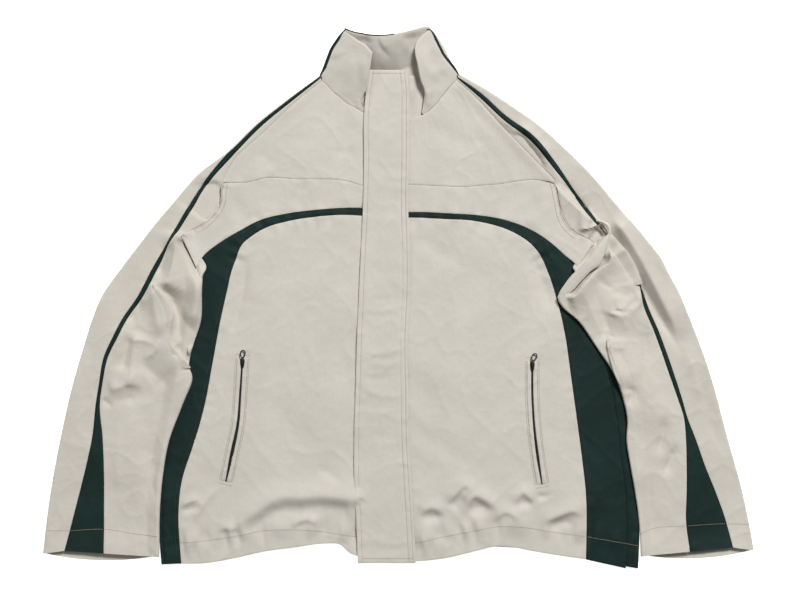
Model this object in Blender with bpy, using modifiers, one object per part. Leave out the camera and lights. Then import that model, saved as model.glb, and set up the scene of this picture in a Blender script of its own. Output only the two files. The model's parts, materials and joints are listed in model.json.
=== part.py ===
# A track jacket laid flat on its back, front side up: two-layer body and
# sleeves, stand collar, storm flap over the front zip, two zipped welt pockets,
# green side panels with a chest band, green sleeve stripes with cuff gussets.
# X runs to the right across the front, Y from the hem to the collar, Z up.
# The origin is on the floor under the middle of the jacket.
import math
from collections import namedtuple

import bmesh
import bpy
import numpy as np

# Driving sizes, all in millimetres.
MM = 0.001
WALL = 1.6              # shell cloth with its light lining
INNER_GAP = 2.4         # air between the back layer and the front layer
LIFT = WALL + INNER_GAP
SEAM_GAP = 0.4          # between two pieces sewn edge to edge
LAY_GAP = 0.6           # between a panel and the piece that lies on it
CHORD_SEAM = 0.35       # a sleeve piece's edge draws back this far along its section
CENTRE_X = -17.0        # centre front line, under the flap
ZIP_HALF = 7.0          # half the front zip's width
CLIMB_RUN = 14.0        # run over which a sleeve climbs onto the body's side
CLIMB_LEAD = 3.0        # it has climbed this far before it reaches the body's edge
CUFF_LIP = 8.0          # how far the back of a cuff shows below its front
COLLAR_WALL = 2.2       # two cloths and an interlining
COLLAR_RISE = 9.0       # how far a collar leaf's free edge stands off
COIL_HALF = 2.4
COIL_THICK = 1.2
LIP_WIDTH = 4.6
LIP_THICK = 1.4
SLIDER_LENGTH = 14.0
SLIDER_HEAD = 8.0       # slider width at its wide end
SLIDER_TAIL = 4.6
SLIDER_THICK = 2.2
PULL_WIRE = 0.7         # radius of the pull's wire
PULL_LENGTH = 10.5
PULL_WIDTH = 7.6
PULL_DROOP = math.radians(10)
WRAP_STEPS = 3          # bends in the half turn round a fold edge

# Sleeve sections, from the neck down to the cuff: the seam or fold edge on the
# body's side, the green stripe's outer line and its width, the outer fold edge.
SleeveRow = namedtuple("SleeveRow", "inner_x inner_y stripe_x stripe_y stripe_w outer_x outer_y")
SLEEVE = {
    "left": [
        SleeveRow(-111, 315, -113, 320, 2, -115, 323),
        SleeveRow(-152, 281, -156, 289, 4, -158, 292),
        SleeveRow(-191, 243, -200, 255, 5, -203, 258),
        SleeveRow(-238, 199, -250, 206, 6, -254, 209),
        SleeveRow(-255, 167, -279, 172, 7, -289, 181),
        SleeveRow(-262, 130, -308, 127, 8, -332, 132),
        SleeveRow(-285, 106, -326, 96, 8, -354, 106),
        SleeveRow(-314, 89, -340, 71, 8, -371, 84),
        SleeveRow(-292, 42, -358, 40, 8, -400, 46),
        SleeveRow(-284, 4, -378, 2, 8, -429, 5),
        SleeveRow(-286, -35, -400, -30, 7, -445, -33),
        SleeveRow(-296, -65, -413, -55, 7, -455, -65),
        SleeveRow(-303, -97, -428, -89, 6, -465, -98),
        SleeveRow(-298, -118, -434, -124, 5, -473, -127),
        SleeveRow(-312, -155, -439, -156, 6, -481, -160),
        SleeveRow(-335, -205, -444, -202, 15, -490, -202),
        SleeveRow(-343, -255, -455, -253, 28, -500, -253),
        SleeveRow(-345, -305, -468, -304, 41, -508, -304),
        SleeveRow(-346, -376, -484, -367, 57, -516, -371),
    ],
    "right": [
        SleeveRow(84, 316, 86, 320, 2, 90, 324),
        SleeveRow(113, 289, 118, 298, 6, 125, 304),
        SleeveRow(150, 248, 157, 263, 7, 171, 274),
        SleeveRow(178, 219, 194, 236, 8, 206, 249),
        SleeveRow(205, 191, 227, 197, 8, 252, 207),
        SleeveRow(227, 167, 255, 156, 8, 286, 172),
        SleeveRow(234, 136, 275, 129, 8, 311, 142),
        SleeveRow(241, 111, 289, 109, 7, 333, 116),
        SleeveRow(255, 95, 300, 93, 6, 349, 98),
        SleeveRow(282, 79, 312, 76, 5, 364, 79),
        SleeveRow(260, 44, 327, 57, 5, 381, 57),
        SleeveRow(245, 22, 341, 36, 5, 395, 30),
        SleeveRow(231, 2, 351, 18, 5, 408, 6),
        SleeveRow(236, -12, 361, -10, 6, 418, -18),
        SleeveRow(262, -36, 377, -48, 7, 431, -50),
        SleeveRow(288, -74, 389, -80, 7, 443, -82),
        SleeveRow(311, -109, 400, -112, 7, 454, -115),
        SleeveRow(324, -143, 411, -146, 6, 463, -146),
        SleeveRow(331, -176, 419, -174, 5, 471, -177),
        SleeveRow(330, -205, 431, -205, 14, 479, -207),
        SleeveRow(336, -245, 445, -245, 27, 490, -246),
        SleeveRow(343, -285, 460, -282, 42, 500, -284),
        SleeveRow(348, -322, 473, -318, 56, 508, -322),
        SleeveRow(351, -375, 485, -362, 63, 516, -366),
    ],
}
CUFF_LEVEL = -360.0                     # sections below this level are the cuffs
YOKE_END = {"left": 4, "right": 5}      # sleeve row where the yoke seam meets the armhole
UNDERARM = {"left": 7, "right": 9}      # sleeve row at the underarm point

# Green panel sections, from the centre front along the chest band and down the
# side to the hem: the edge on the chest or side, the edge on the lower front,
# and the width of the back side piece at that level.
GreenRow = namedtuple("GreenRow", "edge_x edge_y front_x front_y back_w")
GREEN = {
    "left": [
        GreenRow(-24, 129, -24, 117, 0),
        GreenRow(-80, 130, -86, 120, 0),
        GreenRow(-121, 127, -123, 117, 0),
        GreenRow(-166, 121, -160, 111, 0),
        GreenRow(-201, 112, -191, 102, 0),
        GreenRow(-230, 97, -213, 89, 0),
        GreenRow(-260, 79, -228, 75, 0),
        GreenRow(-283, 60, -236, 55, 0),
        GreenRow(-292, 42, -242, 38, 2),
        GreenRow(-290, 12, -248, 12, 14),
        GreenRow(-302, -40, -259, -38, 32),
        GreenRow(-314, -95, -269, -92, 40),
        GreenRow(-327, -160, -282, -160, 40),
        GreenRow(-333, -190, -290, -190, 40),
        GreenRow(-338, -220, -299, -218, 40),
        GreenRow(-343, -265, -314, -265, 40),
        GreenRow(-344, -310, -319, -310, 40),
        GreenRow(-344, -350, -318, -350, 40),
        GreenRow(-344, -387, -315, -386, 40),
    ],
    "right": [
        GreenRow(-10, 123, -10, 116, 0),
        GreenRow(33, 124, 30, 116, 0),
        GreenRow(73, 122, 68, 114, 0),
        GreenRow(118, 119, 106, 112, 0),
        GreenRow(153, 113, 136, 106, 0),
        GreenRow(193, 98, 168, 94, 0),
        GreenRow(218, 82, 191, 79, 0),
        GreenRow(241, 62, 207, 59, 0),
        GreenRow(260, 44, 218, 34, 2),
        GreenRow(268, 4, 229, 0, 14),
        GreenRow(292, -55, 242, -56, 32),
        GreenRow(318, -112, 250, -112, 40),
        GreenRow(334, -170, 258, -170, 40),
        GreenRow(341, -230, 266, -230, 40),
        GreenRow(346, -285, 272, -285, 40),
        GreenRow(348, -340, 273, -335, 40),
        GreenRow(348, -393, 272, -380, 40),
    ],
}
TIP_ROW = 8                             # green row where the band turns down the side
SIDE_WRAP = {"left": 5.0, "right": 18.0}  # how far the back side piece comes round

# Seams across the front, from the side to the centre front.
NECK_SEAM = {
    "left": [(-111, 315), (-104, 309), (-96, 300), (-84, 290), (-73, 281),
             (-60, 274), (-50, 268), (-38, 262), (-24, 258)],
    "right": [(84, 316), (74, 305), (65, 294), (57, 284), (49, 275),
              (42, 269), (35, 265), (15, 259), (-10, 258)],
}
YOKE_SEAM = {
    "left": [(-255, 167), (-215, 168), (-196, 173), (-143, 172), (-115, 172),
             (-88, 171), (-70, 168), (-54, 163), (-24, 162)],
    "right": [(227, 167), (193, 171), (172, 169), (148, 165), (122, 163),
              (98, 161), (60, 162), (14, 164), (-10, 164)],
}
HEM = {
    "left": [(-315, -386), (-286, -386), (-236, -378), (-197, -369), (-153, -363),
             (-103, -357), (-86, -358), (-72, -370), (-24, -380)],
    "right": [(272, -380), (237, -375), (195, -368), (162, -362), (143, -361),
              (112, -368), (70, -378), (25, -383), (-10, -384)],
}
BACK_HEM = [(-304, -384), (-205, -367), (-103, -353), (-5, -372), (100, -361), (205, -366), (308, -387)]
BACK_NECK = [(-111, 315), (-84, 308), (-50, 303), (-14, 301), (24, 303), (58, 309), (84, 316)]

# Flap sections from the collar down: level, left edge, right edge.
FlapRow = namedtuple("FlapRow", "y left right")
FLAP = [
    FlapRow(330, -43, 12),
    FlapRow(297, -47, 15),
    FlapRow(264, -50, 15),
    FlapRow(205, -50, 15),
    FlapRow(142, -51, 14),
    FlapRow(76, -54, 16),
    FlapRow(10, -57, 16),
    FlapRow(-60, -60, 13),
    FlapRow(-130, -62, 14),
    FlapRow(-199, -64, 15),
    FlapRow(-262, -64, 18),
    FlapRow(-325, -61, 22),
    FlapRow(-385, -59, 25),
]

# Collar: each leaf's neck edge is the neck seam, the rest is here.
COLLAR_FREE_EDGE = {
    "left": [(-50, 268), (-54, 290), (-49, 310), (-43, 330), (-38, 359)],
    "right": [(35, 265), (43, 290), (37, 308), (30, 330), (24, 364)],
}
COLLAR_STRIPE_W = {"left": 3.0, "right": 5.0}
COLLAR_STRIPE = {
    "left": [(-114, 322), (-110, 341), (-102, 357), (-91, 375), (-76, 388)],
    "right": [(87, 322.5), (76, 341), (63, 358), (53, 376), (43, 392)],
}
COLLAR_BACK_SIDE = {
    "left": [(-111, 315), (-109, 340), (-101, 357), (-90, 375), (-77, 388)],
    "right": [(84, 316), (82, 334), (72, 351), (59, 374), (44, 393)],
}
COLLAR_BACK_TOP = [(-77, 388), (-58, 383), (-41, 379), (-8, 378), (24, 384), (34, 388), (44, 393)]

# Pocket openings from top to bottom, along the middle of the zip.
POCKET = {
    "left": [(-226, -88), (-229, -135), (-233, -185), (-241, -224), (-250, -266)],
    "right": [(194, -92), (194, -140), (197, -190), (202, -232), (208, -270)],
}
PULL_TURN = {"left": math.radians(-8), "right": math.radians(-28)}  # lean from straight up

# Soft forms of the cloth: middle, half length and half width, direction, height.
Fold = namedtuple("Fold", "x y reach width turn height")
BODY_FOLDS = [
    Fold(-150, -110, 190, 120, 90, 3.0),
    Fold(135, -110, 190, 120, 90, 3.0),
    Fold(-130, 225, 90, 60, 35, 2.0),
    Fold(110, 225, 90, 60, -40, 2.0),
    Fold(-120, -292, 80, 34, 8, 2.5),
    Fold(115, -300, 70, 34, -20, 2.0),
]
SLEEVE_FOLDS = [
    Fold(-322, 10, 70, 22, 70, 8.0),
    Fold(-325, -100, 60, 22, -70, 7.0),
    Fold(-395, -180, 120, 30, -80, 3.0),
    Fold(262, 30, 60, 20, 50, 9.0),
    Fold(305, -5, 50, 24, -35, 9.0),
    Fold(362, 90, 90, 20, -55, 8.0),
    Fold(355, -130, 110, 28, -65, 4.0),
]


# Shape helpers.
def smooth(value):
    # 3v^2 - 2v^3 with v held between 0 and 1
    held = np.clip(value, 0.0, 1.0)
    return held * held * (3.0 - 2.0 * held)


def raised(folds, x, y):
    # the sum of long soft mounds, height * exp(-(a/reach)^2 - (b/width)^2)
    total = np.zeros(np.shape(x))
    for fold in folds:
        turn = math.radians(fold.turn)
        along = (x - fold.x) * math.cos(turn) + (y - fold.y) * math.sin(turn)
        across = (y - fold.y) * math.cos(turn) - (x - fold.x) * math.sin(turn)
        total = total + fold.height * np.exp(-(along / fold.reach) ** 2 - (across / fold.width) ** 2)
    return total


def front_under(x, y):
    # underside of the body's front layer
    return LIFT + raised(BODY_FOLDS, x, y)


def front_top(x, y):
    return front_under(x, y) + WALL


def inside_body(side, x, y):
    # how far a point lies inside the body's side edge, along X
    rows = GREEN[side][TIP_ROW:]
    levels = [row.edge_y for row in rows][::-1]
    edges = [row.edge_x for row in rows][::-1]
    edge_x = np.interp(y, levels, edges)
    return (x - edge_x) if side == "left" else (edge_x - x)


def climb(side, x, y):
    # 0 where a sleeve lies on the floor, 1 where it lies over the body's side
    underarm_y = SLEEVE[side][UNDERARM[side]].inner_y
    drop = underarm_y - GREEN[side][TIP_ROW].edge_y
    over_body = np.clip((inside_body(side, x, y) + CLIMB_LEAD + CLIMB_RUN) / CLIMB_RUN, 0.0, 1.0)
    return over_body * np.clip((underarm_y - y) / drop, 0.0, 1.0)


def sleeve_under(side, x, y):
    # underside of the sleeve's back layer
    return climb(side, x, y) * (front_top(x, y) + LAY_GAP)


def sleeve_front_under(side, x, y):
    # underside of the sleeve's front layer
    on_body = climb(side, x, y)
    body_form = (1.0 - on_body) * raised(BODY_FOLDS, x, y)
    return sleeve_under(side, x, y) + LIFT + body_form + raised(SLEEVE_FOLDS, x, y)


def coons(bottom, top, left, right):
    # a grid filled in between four edge curves: the sum of the two straight
    # blends less the blend of the four corners; shape (rows, columns, 2)
    bottom, top, left, right = (np.array(c, dtype=float) for c in (bottom, top, left, right))
    u = np.linspace(0.0, 1.0, len(bottom))[None, :, None]
    v = np.linspace(0.0, 1.0, len(left))[:, None, None]
    across = (1 - v) * bottom[None] + v * top[None]
    along = (1 - u) * left[:, None] + u * right[:, None]
    low = (1 - u) * bottom[0] + u * bottom[-1]
    high = (1 - u) * top[0] + u * top[-1]
    return across + along - (1 - v) * low - v * high


def inset(grid, distance):
    # draws a grid's rim inwards by the distance, square to each edge
    rows, columns = grid.shape[:2]
    ring = [(0, j) for j in range(columns)]
    ring += [(i, columns - 1) for i in range(1, rows)]
    ring += [(rows - 1, j) for j in range(columns - 2, -1, -1)]
    ring += [(i, 0) for i in range(rows - 2, 0, -1)]
    points = np.array([grid[i, j] for i, j in ring])
    before = points - np.roll(points, 1, axis=0)
    after = np.roll(points, -1, axis=0) - points
    before /= np.linalg.norm(before, axis=1)[:, None]
    after /= np.linalg.norm(after, axis=1)[:, None]
    turned = np.roll(points, -1, axis=0)
    area = np.sum(points[:, 0] * turned[:, 1] - turned[:, 0] * points[:, 1])
    sign = 1.0 if area > 0 else -1.0
    normal_before = sign * np.stack([-before[:, 1], before[:, 0]], axis=1)
    normal_after = sign * np.stack([-after[:, 1], after[:, 0]], axis=1)
    middle = normal_before + normal_after
    middle /= np.linalg.norm(middle, axis=1)[:, None]
    reach = np.clip(np.sum(middle * normal_before, axis=1), 0.5, 1.0)
    moved = points + middle * (distance / reach)[:, None]
    result = grid.copy()
    for (i, j), point in zip(ring, moved):
        result[i, j] = point
    return result


def line(start, end, count):
    # evenly spaced points on a straight line
    share = np.linspace(0.0, 1.0, count)[:, None]
    return (1 - share) * np.array(start, dtype=float) + share * np.array(end, dtype=float)


# Scene and materials.
for old in list(bpy.data.objects):
    bpy.data.objects.remove(old, do_unlink=True)
jacket = bpy.data.collections.new("track_jacket")
bpy.context.scene.collection.children.link(jacket)


def make_material(name, colour, roughness, metallic=0.0):
    material = bpy.data.materials.new(name)
    material.use_nodes = True
    shader = material.node_tree.nodes["Principled BSDF"]
    shader.inputs["Base Color"].default_value = (*colour, 1.0)
    shader.inputs["Roughness"].default_value = roughness
    shader.inputs["Metallic"].default_value = metallic
    return material


STONE = make_material("stone woven shell", (0.66, 0.62, 0.54), 0.62)
GREEN_CLOTH = make_material("dark green woven shell", (0.015, 0.032, 0.030), 0.50)
ZIP_BLACK = make_material("black zip tape and coil", (0.010, 0.010, 0.011), 0.60)
METAL_BLACK = make_material("black painted zip metal", (0.012, 0.012, 0.013), 0.35, 1.0)


def add_part(name, mesh, material):
    part = bpy.data.objects.new(name, mesh)
    part.data.materials.append(material)
    jacket.objects.link(part)
    return part


def loft(name, inside, outside, material):
    # a closed wall between two grids of points, rows x columns x 3
    rows, columns = inside.shape[:2]
    mesh = bpy.data.meshes.new(name)
    shape = bmesh.new()
    grids = []
    for grid in (inside, outside):
        grids.append([[shape.verts.new(point * MM) for point in row] for row in grid])
    for i in range(rows - 1):
        for j in range(columns - 1):
            for verts in grids:
                shape.faces.new((verts[i][j], verts[i][j + 1], verts[i + 1][j + 1], verts[i + 1][j]))
    rim = [(0, j) for j in range(columns)]
    rim += [(i, columns - 1) for i in range(1, rows)]
    rim += [(rows - 1, j) for j in range(columns - 2, -1, -1)]
    rim += [(i, 0) for i in range(rows - 2, -1, -1)]
    for (i, j), (k, m) in zip(rim, rim[1:]):
        shape.faces.new((grids[0][i][j], grids[0][k][m], grids[1][k][m], grids[1][i][j]))
    bmesh.ops.recalc_face_normals(shape, faces=shape.faces)
    shape.to_mesh(mesh)
    shape.free()
    return add_part(name, mesh, material)


def panel(name, plan, under, material, wall=WALL):
    # a cloth panel over its plan grid: its underside's height comes from under(x, y)
    x = plan[..., 0]
    y = plan[..., 1]
    low = np.stack([x, y, under(x, y)], axis=-1)
    high = low + np.array([0.0, 0.0, wall])
    return loft(name, low, high, material)


# Body.
def centre_edge(side, low_y, high_y, count):
    # the front's edge beside the front zip
    reach = -ZIP_HALF if side == "left" else ZIP_HALF
    return line((CENTRE_X + reach, low_y), (CENTRE_X + reach, high_y), count)


def inner_points(side, first, last):
    rows = SLEEVE[side][first:last + 1]
    return [(row.inner_x, row.inner_y) for row in rows]


def build_yoke(side):
    shoulder = inner_points(side, 0, YOKE_END[side])[::-1]
    seam = YOKE_SEAM[side]
    neck = NECK_SEAM[side]
    centre = centre_edge(side, seam[-1][1], neck[-1][1], len(shoulder))
    plan = inset(coons(seam, neck, shoulder, centre), SEAM_GAP / 2)
    panel(f"yoke_{side}", plan, front_under, STONE)


def build_chest(side):
    tip = (GREEN[side][TIP_ROW].edge_x, GREEN[side][TIP_ROW].edge_y)
    armhole = [tip] + inner_points(side, YOKE_END[side], UNDERARM[side])[::-1]
    band = [(row.edge_x, row.edge_y) for row in GREEN[side][TIP_ROW::-1]]
    seam = YOKE_SEAM[side]
    centre = centre_edge(side, band[-1][1], seam[-1][1], len(armhole))
    plan = inset(coons(band, seam, armhole, centre), SEAM_GAP / 2)
    panel(f"chest_{side}", plan, front_under, STONE)


def build_front(side):
    top = [(row.front_x, row.front_y) for row in GREEN[side][TIP_ROW::-1]]
    edge = [(row.front_x, row.front_y) for row in GREEN[side][:TIP_ROW - 1:-1]]
    hem = HEM[side]
    centre = centre_edge(side, hem[-1][1], top[-1][1], len(edge))
    plan = inset(coons(hem, top, edge, centre), SEAM_GAP / 2)
    panel(f"front_{side}", plan, front_under, STONE)


def side_seam(side, row):
    # where the front side panel ends and the back side piece begins, on top
    index = GREEN[side].index(row)
    inward = 1.0 if side == "left" else -1.0
    if index <= TIP_ROW:
        return row.edge_x
    share = min((index - TIP_ROW) / 4.0, 1.0)
    least = (LIFT + WALL) / 2 + 1.0
    return row.edge_x + inward * max(SIDE_WRAP[side] * share, least)


def build_side_panel(side):
    columns = 4
    rows = []
    for row in GREEN[side]:
        rows.append(line((side_seam(side, row), row.edge_y), (row.front_x, row.front_y), columns))
    plan = inset(np.array(rows), SEAM_GAP / 2)
    panel(f"side_panel_{side}", plan, front_under, GREEN_CLOTH)


def wrapped(under_path, edge, top_path, under_z, top_z):
    # One section of a piece that runs on the floor side, turns round the fold
    # edge in a half circle and comes back on top. Returns inner and outer points.
    floor_side = np.column_stack([under_path, under_z])
    top_side = np.column_stack([top_path, top_z])
    radius = (top_side[0, 2] - floor_side[-1, 2] + WALL) / 2
    middle_z = floor_side[-1, 2] + radius
    outward = edge - under_path[-1]
    outward = outward / np.linalg.norm(outward)
    turns = np.linspace(-math.pi / 2, math.pi / 2, WRAP_STEPS + 2)[1:-1]
    inner = list(floor_side + [0.0, 0.0, WALL])
    outer = list(floor_side)
    for turn in turns:
        for points, reach in ((inner, radius - WALL), (outer, radius)):
            plan = under_path[-1] + outward * reach * math.cos(turn)
            points.append(np.array([*plan, middle_z + reach * math.sin(turn)]))
    inner += list(top_side)
    outer += list(top_side + [0.0, 0.0, WALL])
    return np.array(inner), np.array(outer)


def section_edge(start, edge, radius):
    # the point where a half turn that ends at the edge begins
    away = np.array(edge) - np.array(start)
    return np.array(edge) - away / np.linalg.norm(away) * radius


def build_side_back(side):
    inward = 1.0 if side == "left" else -1.0
    radius = (LIFT + WALL) / 2
    inner, outer = [], []
    for row in GREEN[side][TIP_ROW + 1:]:
        edge = np.array([row.edge_x, row.edge_y])
        turn_x = row.edge_x + inward * radius
        top_end = abs(side_seam(side, row) - row.edge_x) - SEAM_GAP / 2
        deep = row.back_w - SEAM_GAP / 2
        under_path = line((row.edge_x + inward * deep, row.edge_y), (turn_x, row.edge_y), 3)
        top_path = line((turn_x, row.edge_y), (row.edge_x + inward * top_end, row.edge_y), 2)
        top_z = front_under(top_path[:, 0], top_path[:, 1])
        section = wrapped(under_path, edge, top_path, np.zeros(3), top_z)
        inner.append(section[0])
        outer.append(section[1])
    loft(f"side_back_{side}", np.array(inner), np.array(outer), GREEN_CLOTH)


def back_side_line(side):
    # the back panel's side, from the hem up to the neck
    inward = 1.0 if side == "left" else -1.0
    points = []
    for row in GREEN[side][:TIP_ROW - 1:-1]:
        points.append((row.edge_x + inward * max(row.back_w, 5.0), row.edge_y))
    sleeve_rows = SLEEVE[side][UNDERARM[side]::-1]
    points += [(row.inner_x, row.inner_y) for row in sleeve_rows]
    return np.array(points, dtype=float)


def build_back():
    left = back_side_line("left")
    right = back_side_line("right")
    left[0] = BACK_HEM[0]
    right[0] = BACK_HEM[-1]
    plan = inset(coons(BACK_HEM, BACK_NECK, left, right), SEAM_GAP / 2)
    panel("back", plan, lambda x, y: np.zeros(np.shape(x)), STONE)


# Sleeves.
def sleeve_lines(side):
    # per section: inner edge, stripe's inner line, stripe's outer line, fold edge
    sections = []
    for row in SLEEVE[side]:
        inner = np.array([row.inner_x, row.inner_y], dtype=float)
        stripe = np.array([row.stripe_x, row.stripe_y], dtype=float)
        outer = np.array([row.outer_x, row.outer_y], dtype=float)
        toward = (inner - stripe) / np.linalg.norm(inner - stripe)
        sections.append((inner, stripe + toward * row.stripe_w, stripe, outer))
    return sections


def shorter(start, end, start_cut, end_cut, count):
    # a straight run of points with both ends drawn in
    way = (end - start) / np.linalg.norm(end - start)
    return line(start + way * start_cut, end - way * end_cut, count)


def from_body(side, start, end, end_cut, count):
    # A run from a sleeve's edge on the body's side outwards, with a point where
    # it has come clear of the body's edge and one where it has come down.
    length = np.linalg.norm(end - start)
    way = (end - start) / length
    over = max(float(inside_body(side, *start)), 0.0)
    clear = (over + CLIMB_LEAD) / abs(way[0])
    down = (over + CLIMB_LEAD + CLIMB_RUN) / abs(way[0])
    last = length - end_cut
    scale = min(1.0, 0.8 * last / down)
    marks = [CHORD_SEAM, clear * scale, down * scale]
    marks += list(np.linspace(down * scale, last, count - 2)[1:])
    return start + way * np.array(marks)[:, None]


def build_sleeve(side):
    front, stripe = [], []
    inner_wall, outer_wall = [], []
    radius = (LIFT + WALL) / 2
    for inner, stripe_in, stripe_out, outer in sleeve_lines(side):
        front.append(from_body(side, inner, stripe_in, SEAM_GAP / 2, 7))
        stripe.append(shorter(stripe_in, stripe_out, SEAM_GAP / 2, SEAM_GAP / 2, 2))
        turn = section_edge(inner, outer, radius)
        under_path = from_body(side, inner, turn, 0.0, 6)
        if outer[1] < CUFF_LEVEL:
            share = np.linalg.norm(under_path - inner, axis=1) / np.linalg.norm(turn - inner)
            under_path[:, 1] -= CUFF_LIP * np.sin(math.pi * share)
        top_path = shorter(turn, stripe_out, 0.0, SEAM_GAP / 2, 3)
        under_z = sleeve_under(side, under_path[:, 0], under_path[:, 1])
        top_z = sleeve_front_under(side, top_path[:, 0], top_path[:, 1])
        section = wrapped(under_path, outer, top_path, under_z, top_z)
        inner_wall.append(section[0])
        outer_wall.append(section[1])
    top_height = lambda x, y: sleeve_front_under(side, x, y)
    panel(f"sleeve_front_{side}", np.array(front), top_height, STONE)
    panel(f"sleeve_stripe_{side}", np.array(stripe), top_height, GREEN_CLOTH)
    loft(f"sleeve_back_{side}", np.array(inner_wall), np.array(outer_wall), STONE)


# Collar.
def build_collar_leaf(side):
    seam = NECK_SEAM[side][:7]
    free = COLLAR_FREE_EDGE[side]
    inward = 1.0 if side == "left" else -1.0
    stripe = [(x + inward * COLLAR_STRIPE_W[side], y) for x, y in COLLAR_STRIPE[side]]
    stripe[0] = seam[0]
    top = line(stripe[-1], free[-1], len(seam))
    plan = inset(coons(seam, top, stripe, free), SEAM_GAP / 2)
    across = np.linspace(0.0, 1.0, len(seam))[None, :]
    up = np.linspace(0.0, 1.0, len(free))[:, None]
    rise = COLLAR_RISE * across ** 1.5 * smooth(up * 2.5)
    panel(f"collar_{side}", plan, lambda x, y: front_under(x, y) + rise, STONE)


def build_collar_stripe(side):
    inward = 1.0 if side == "left" else -1.0
    width = COLLAR_STRIPE_W[side]
    rows = [[(x, y), (x + inward * width, y)] for x, y in COLLAR_STRIPE[side]]
    rows[0][1] = (rows[0][0][0] + inward * 1.8, rows[0][0][1] - 2.8)
    plan = inset(np.array(rows, dtype=float), SEAM_GAP / 2)
    panel(f"collar_stripe_{side}", plan, front_under, GREEN_CLOTH)


def build_collar_back():
    left = COLLAR_BACK_SIDE["left"]
    right = COLLAR_BACK_SIDE["right"]
    plan = inset(coons(BACK_NECK, COLLAR_BACK_TOP, left, right), SEAM_GAP / 2)
    panel("collar_back", plan, lambda x, y: np.zeros(np.shape(x)), STONE, COLLAR_WALL)


def build_collar_front():
    # the collar's two front ends, closed by the zip, that the flap lies on
    neck = [(-42, 266), (-24, 259), (-8, 259), (14, 260), (30, 268)]
    top = line((-38, 326), (33, 322), len(neck))
    left = line(neck[0], top[0], 3)
    right = line(neck[-1], top[-1], 3)
    plan = inset(coons(neck, top, left, right), SEAM_GAP)
    panel("collar_front", plan, front_under, STONE)


# Front zip and the flap over it.
def strip(levels, left_x, right_x, columns):
    rows = [line((a, y), (b, y), columns) for y, a, b in zip(levels, left_x, right_x)]
    return np.array(rows)


def build_front_zip():
    levels = np.linspace(-372.0, 252.0, 12)
    half = ZIP_HALF - SEAM_GAP / 2
    plan = strip(levels, [CENTRE_X - half] * 12, [CENTRE_X + half] * 12, 2)
    panel("front_zip", plan, front_under, ZIP_BLACK)


def build_flap():
    plan = strip([r.y for r in FLAP], [r.left for r in FLAP], [r.right for r in FLAP], 5)
    panel("storm_flap", plan, lambda x, y: front_top(x, y) + LAY_GAP, STONE)


# Pockets.
def beside(path, first, last):
    # a grid of two columns that runs beside a path, from one offset to the other
    path = np.array(path, dtype=float)
    way = np.gradient(path, axis=0)
    way /= np.linalg.norm(way, axis=1)[:, None]
    normal = np.stack([-way[:, 1], way[:, 0]], axis=1)
    return np.stack([path + normal * first, path + normal * last], axis=1)


def on_front(x, y):
    return front_top(x, y) + LAY_GAP


def build_pocket(side):
    path = POCKET[side]
    lip_start = COIL_HALF + SEAM_GAP
    lip_end = lip_start + LIP_WIDTH
    panel(f"pocket_zip_{side}", beside(path, -COIL_HALF, COIL_HALF), on_front, ZIP_BLACK, COIL_THICK)
    panel(f"pocket_lip_inner_{side}", beside(path, lip_start, lip_end), on_front, STONE, LIP_THICK)
    panel(f"pocket_lip_outer_{side}", beside(path, -lip_end, -lip_start), on_front, STONE, LIP_THICK)


def zip_top(x, y):
    return float(on_front(np.array(x), np.array(y))) + COIL_THICK


def build_slider(side):
    x, y = POCKET[side][0]
    middle_y = y - SLIDER_LENGTH / 2
    base = zip_top(x, middle_y) + LAY_GAP
    mesh = bpy.data.meshes.new(f"slider_{side}")
    shape = bmesh.new()
    bmesh.ops.create_cube(shape, size=1.0)
    for vert in shape.verts:
        width = SLIDER_HEAD if vert.co.y > 0 else SLIDER_TAIL
        vert.co.x *= width * MM
        vert.co.y *= SLIDER_LENGTH * MM
        vert.co.z *= SLIDER_THICK * MM
    shape.to_mesh(mesh)
    shape.free()
    slider = add_part(f"slider_{side}", mesh, METAL_BLACK)
    slider.location = (x * MM, middle_y * MM, (base + SLIDER_THICK / 2) * MM)
    edges = slider.modifiers.new("rounded edges", "BEVEL")
    edges.width = 0.5 * MM
    edges.segments = 2


def build_pull(side):
    # a closed wire loop whose straight end turns in the slider's bridge
    x, y = POCKET[side][0]
    height = zip_top(x, y) + LAY_GAP + SLIDER_THICK + PULL_WIRE + 0.3
    hinge_y = y + PULL_WIRE + 0.6
    half = PULL_WIDTH / 2
    outline = [(-half, 0.0), (half, 0.0), (half, PULL_LENGTH * 0.35), (half * 0.75, PULL_LENGTH * 0.8),
               (half * 0.3, PULL_LENGTH), (-half * 0.3, PULL_LENGTH),
               (-half * 0.75, PULL_LENGTH * 0.8), (-half, PULL_LENGTH * 0.35)]
    curve = bpy.data.curves.new(f"pull_{side}", "CURVE")
    curve.dimensions = "3D"
    curve.bevel_depth = PULL_WIRE * MM
    curve.bevel_resolution = 1
    wire = curve.splines.new("POLY")
    wire.points.add(len(outline) - 1)
    wire.use_cyclic_u = True
    for point, (a, b) in zip(wire.points, outline):
        place = (a, b * math.cos(PULL_DROOP), -b * math.sin(PULL_DROOP))
        point.co = (place[0] * MM, place[1] * MM, place[2] * MM, 1.0)
    pull = bpy.data.objects.new(f"pull_{side}", curve)
    pull.data.materials.append(METAL_BLACK)
    jacket.objects.link(pull)
    pull.location = (x * MM, hinge_y * MM, height * MM)
    pull.rotation_euler = (0.0, 0.0, PULL_TURN[side])


build_back()
build_front_zip()
build_flap()
build_collar_back()
build_collar_front()
for side in ("left", "right"):
    build_yoke(side)
    build_chest(side)
    build_front(side)
    build_side_panel(side)
    build_side_back(side)
    build_sleeve(side)
    build_collar_leaf(side)
    build_collar_stripe(side)
    build_pocket(side)
    build_slider(side)
    build_pull(side)
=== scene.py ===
import json
import math
from collections import namedtuple

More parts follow.
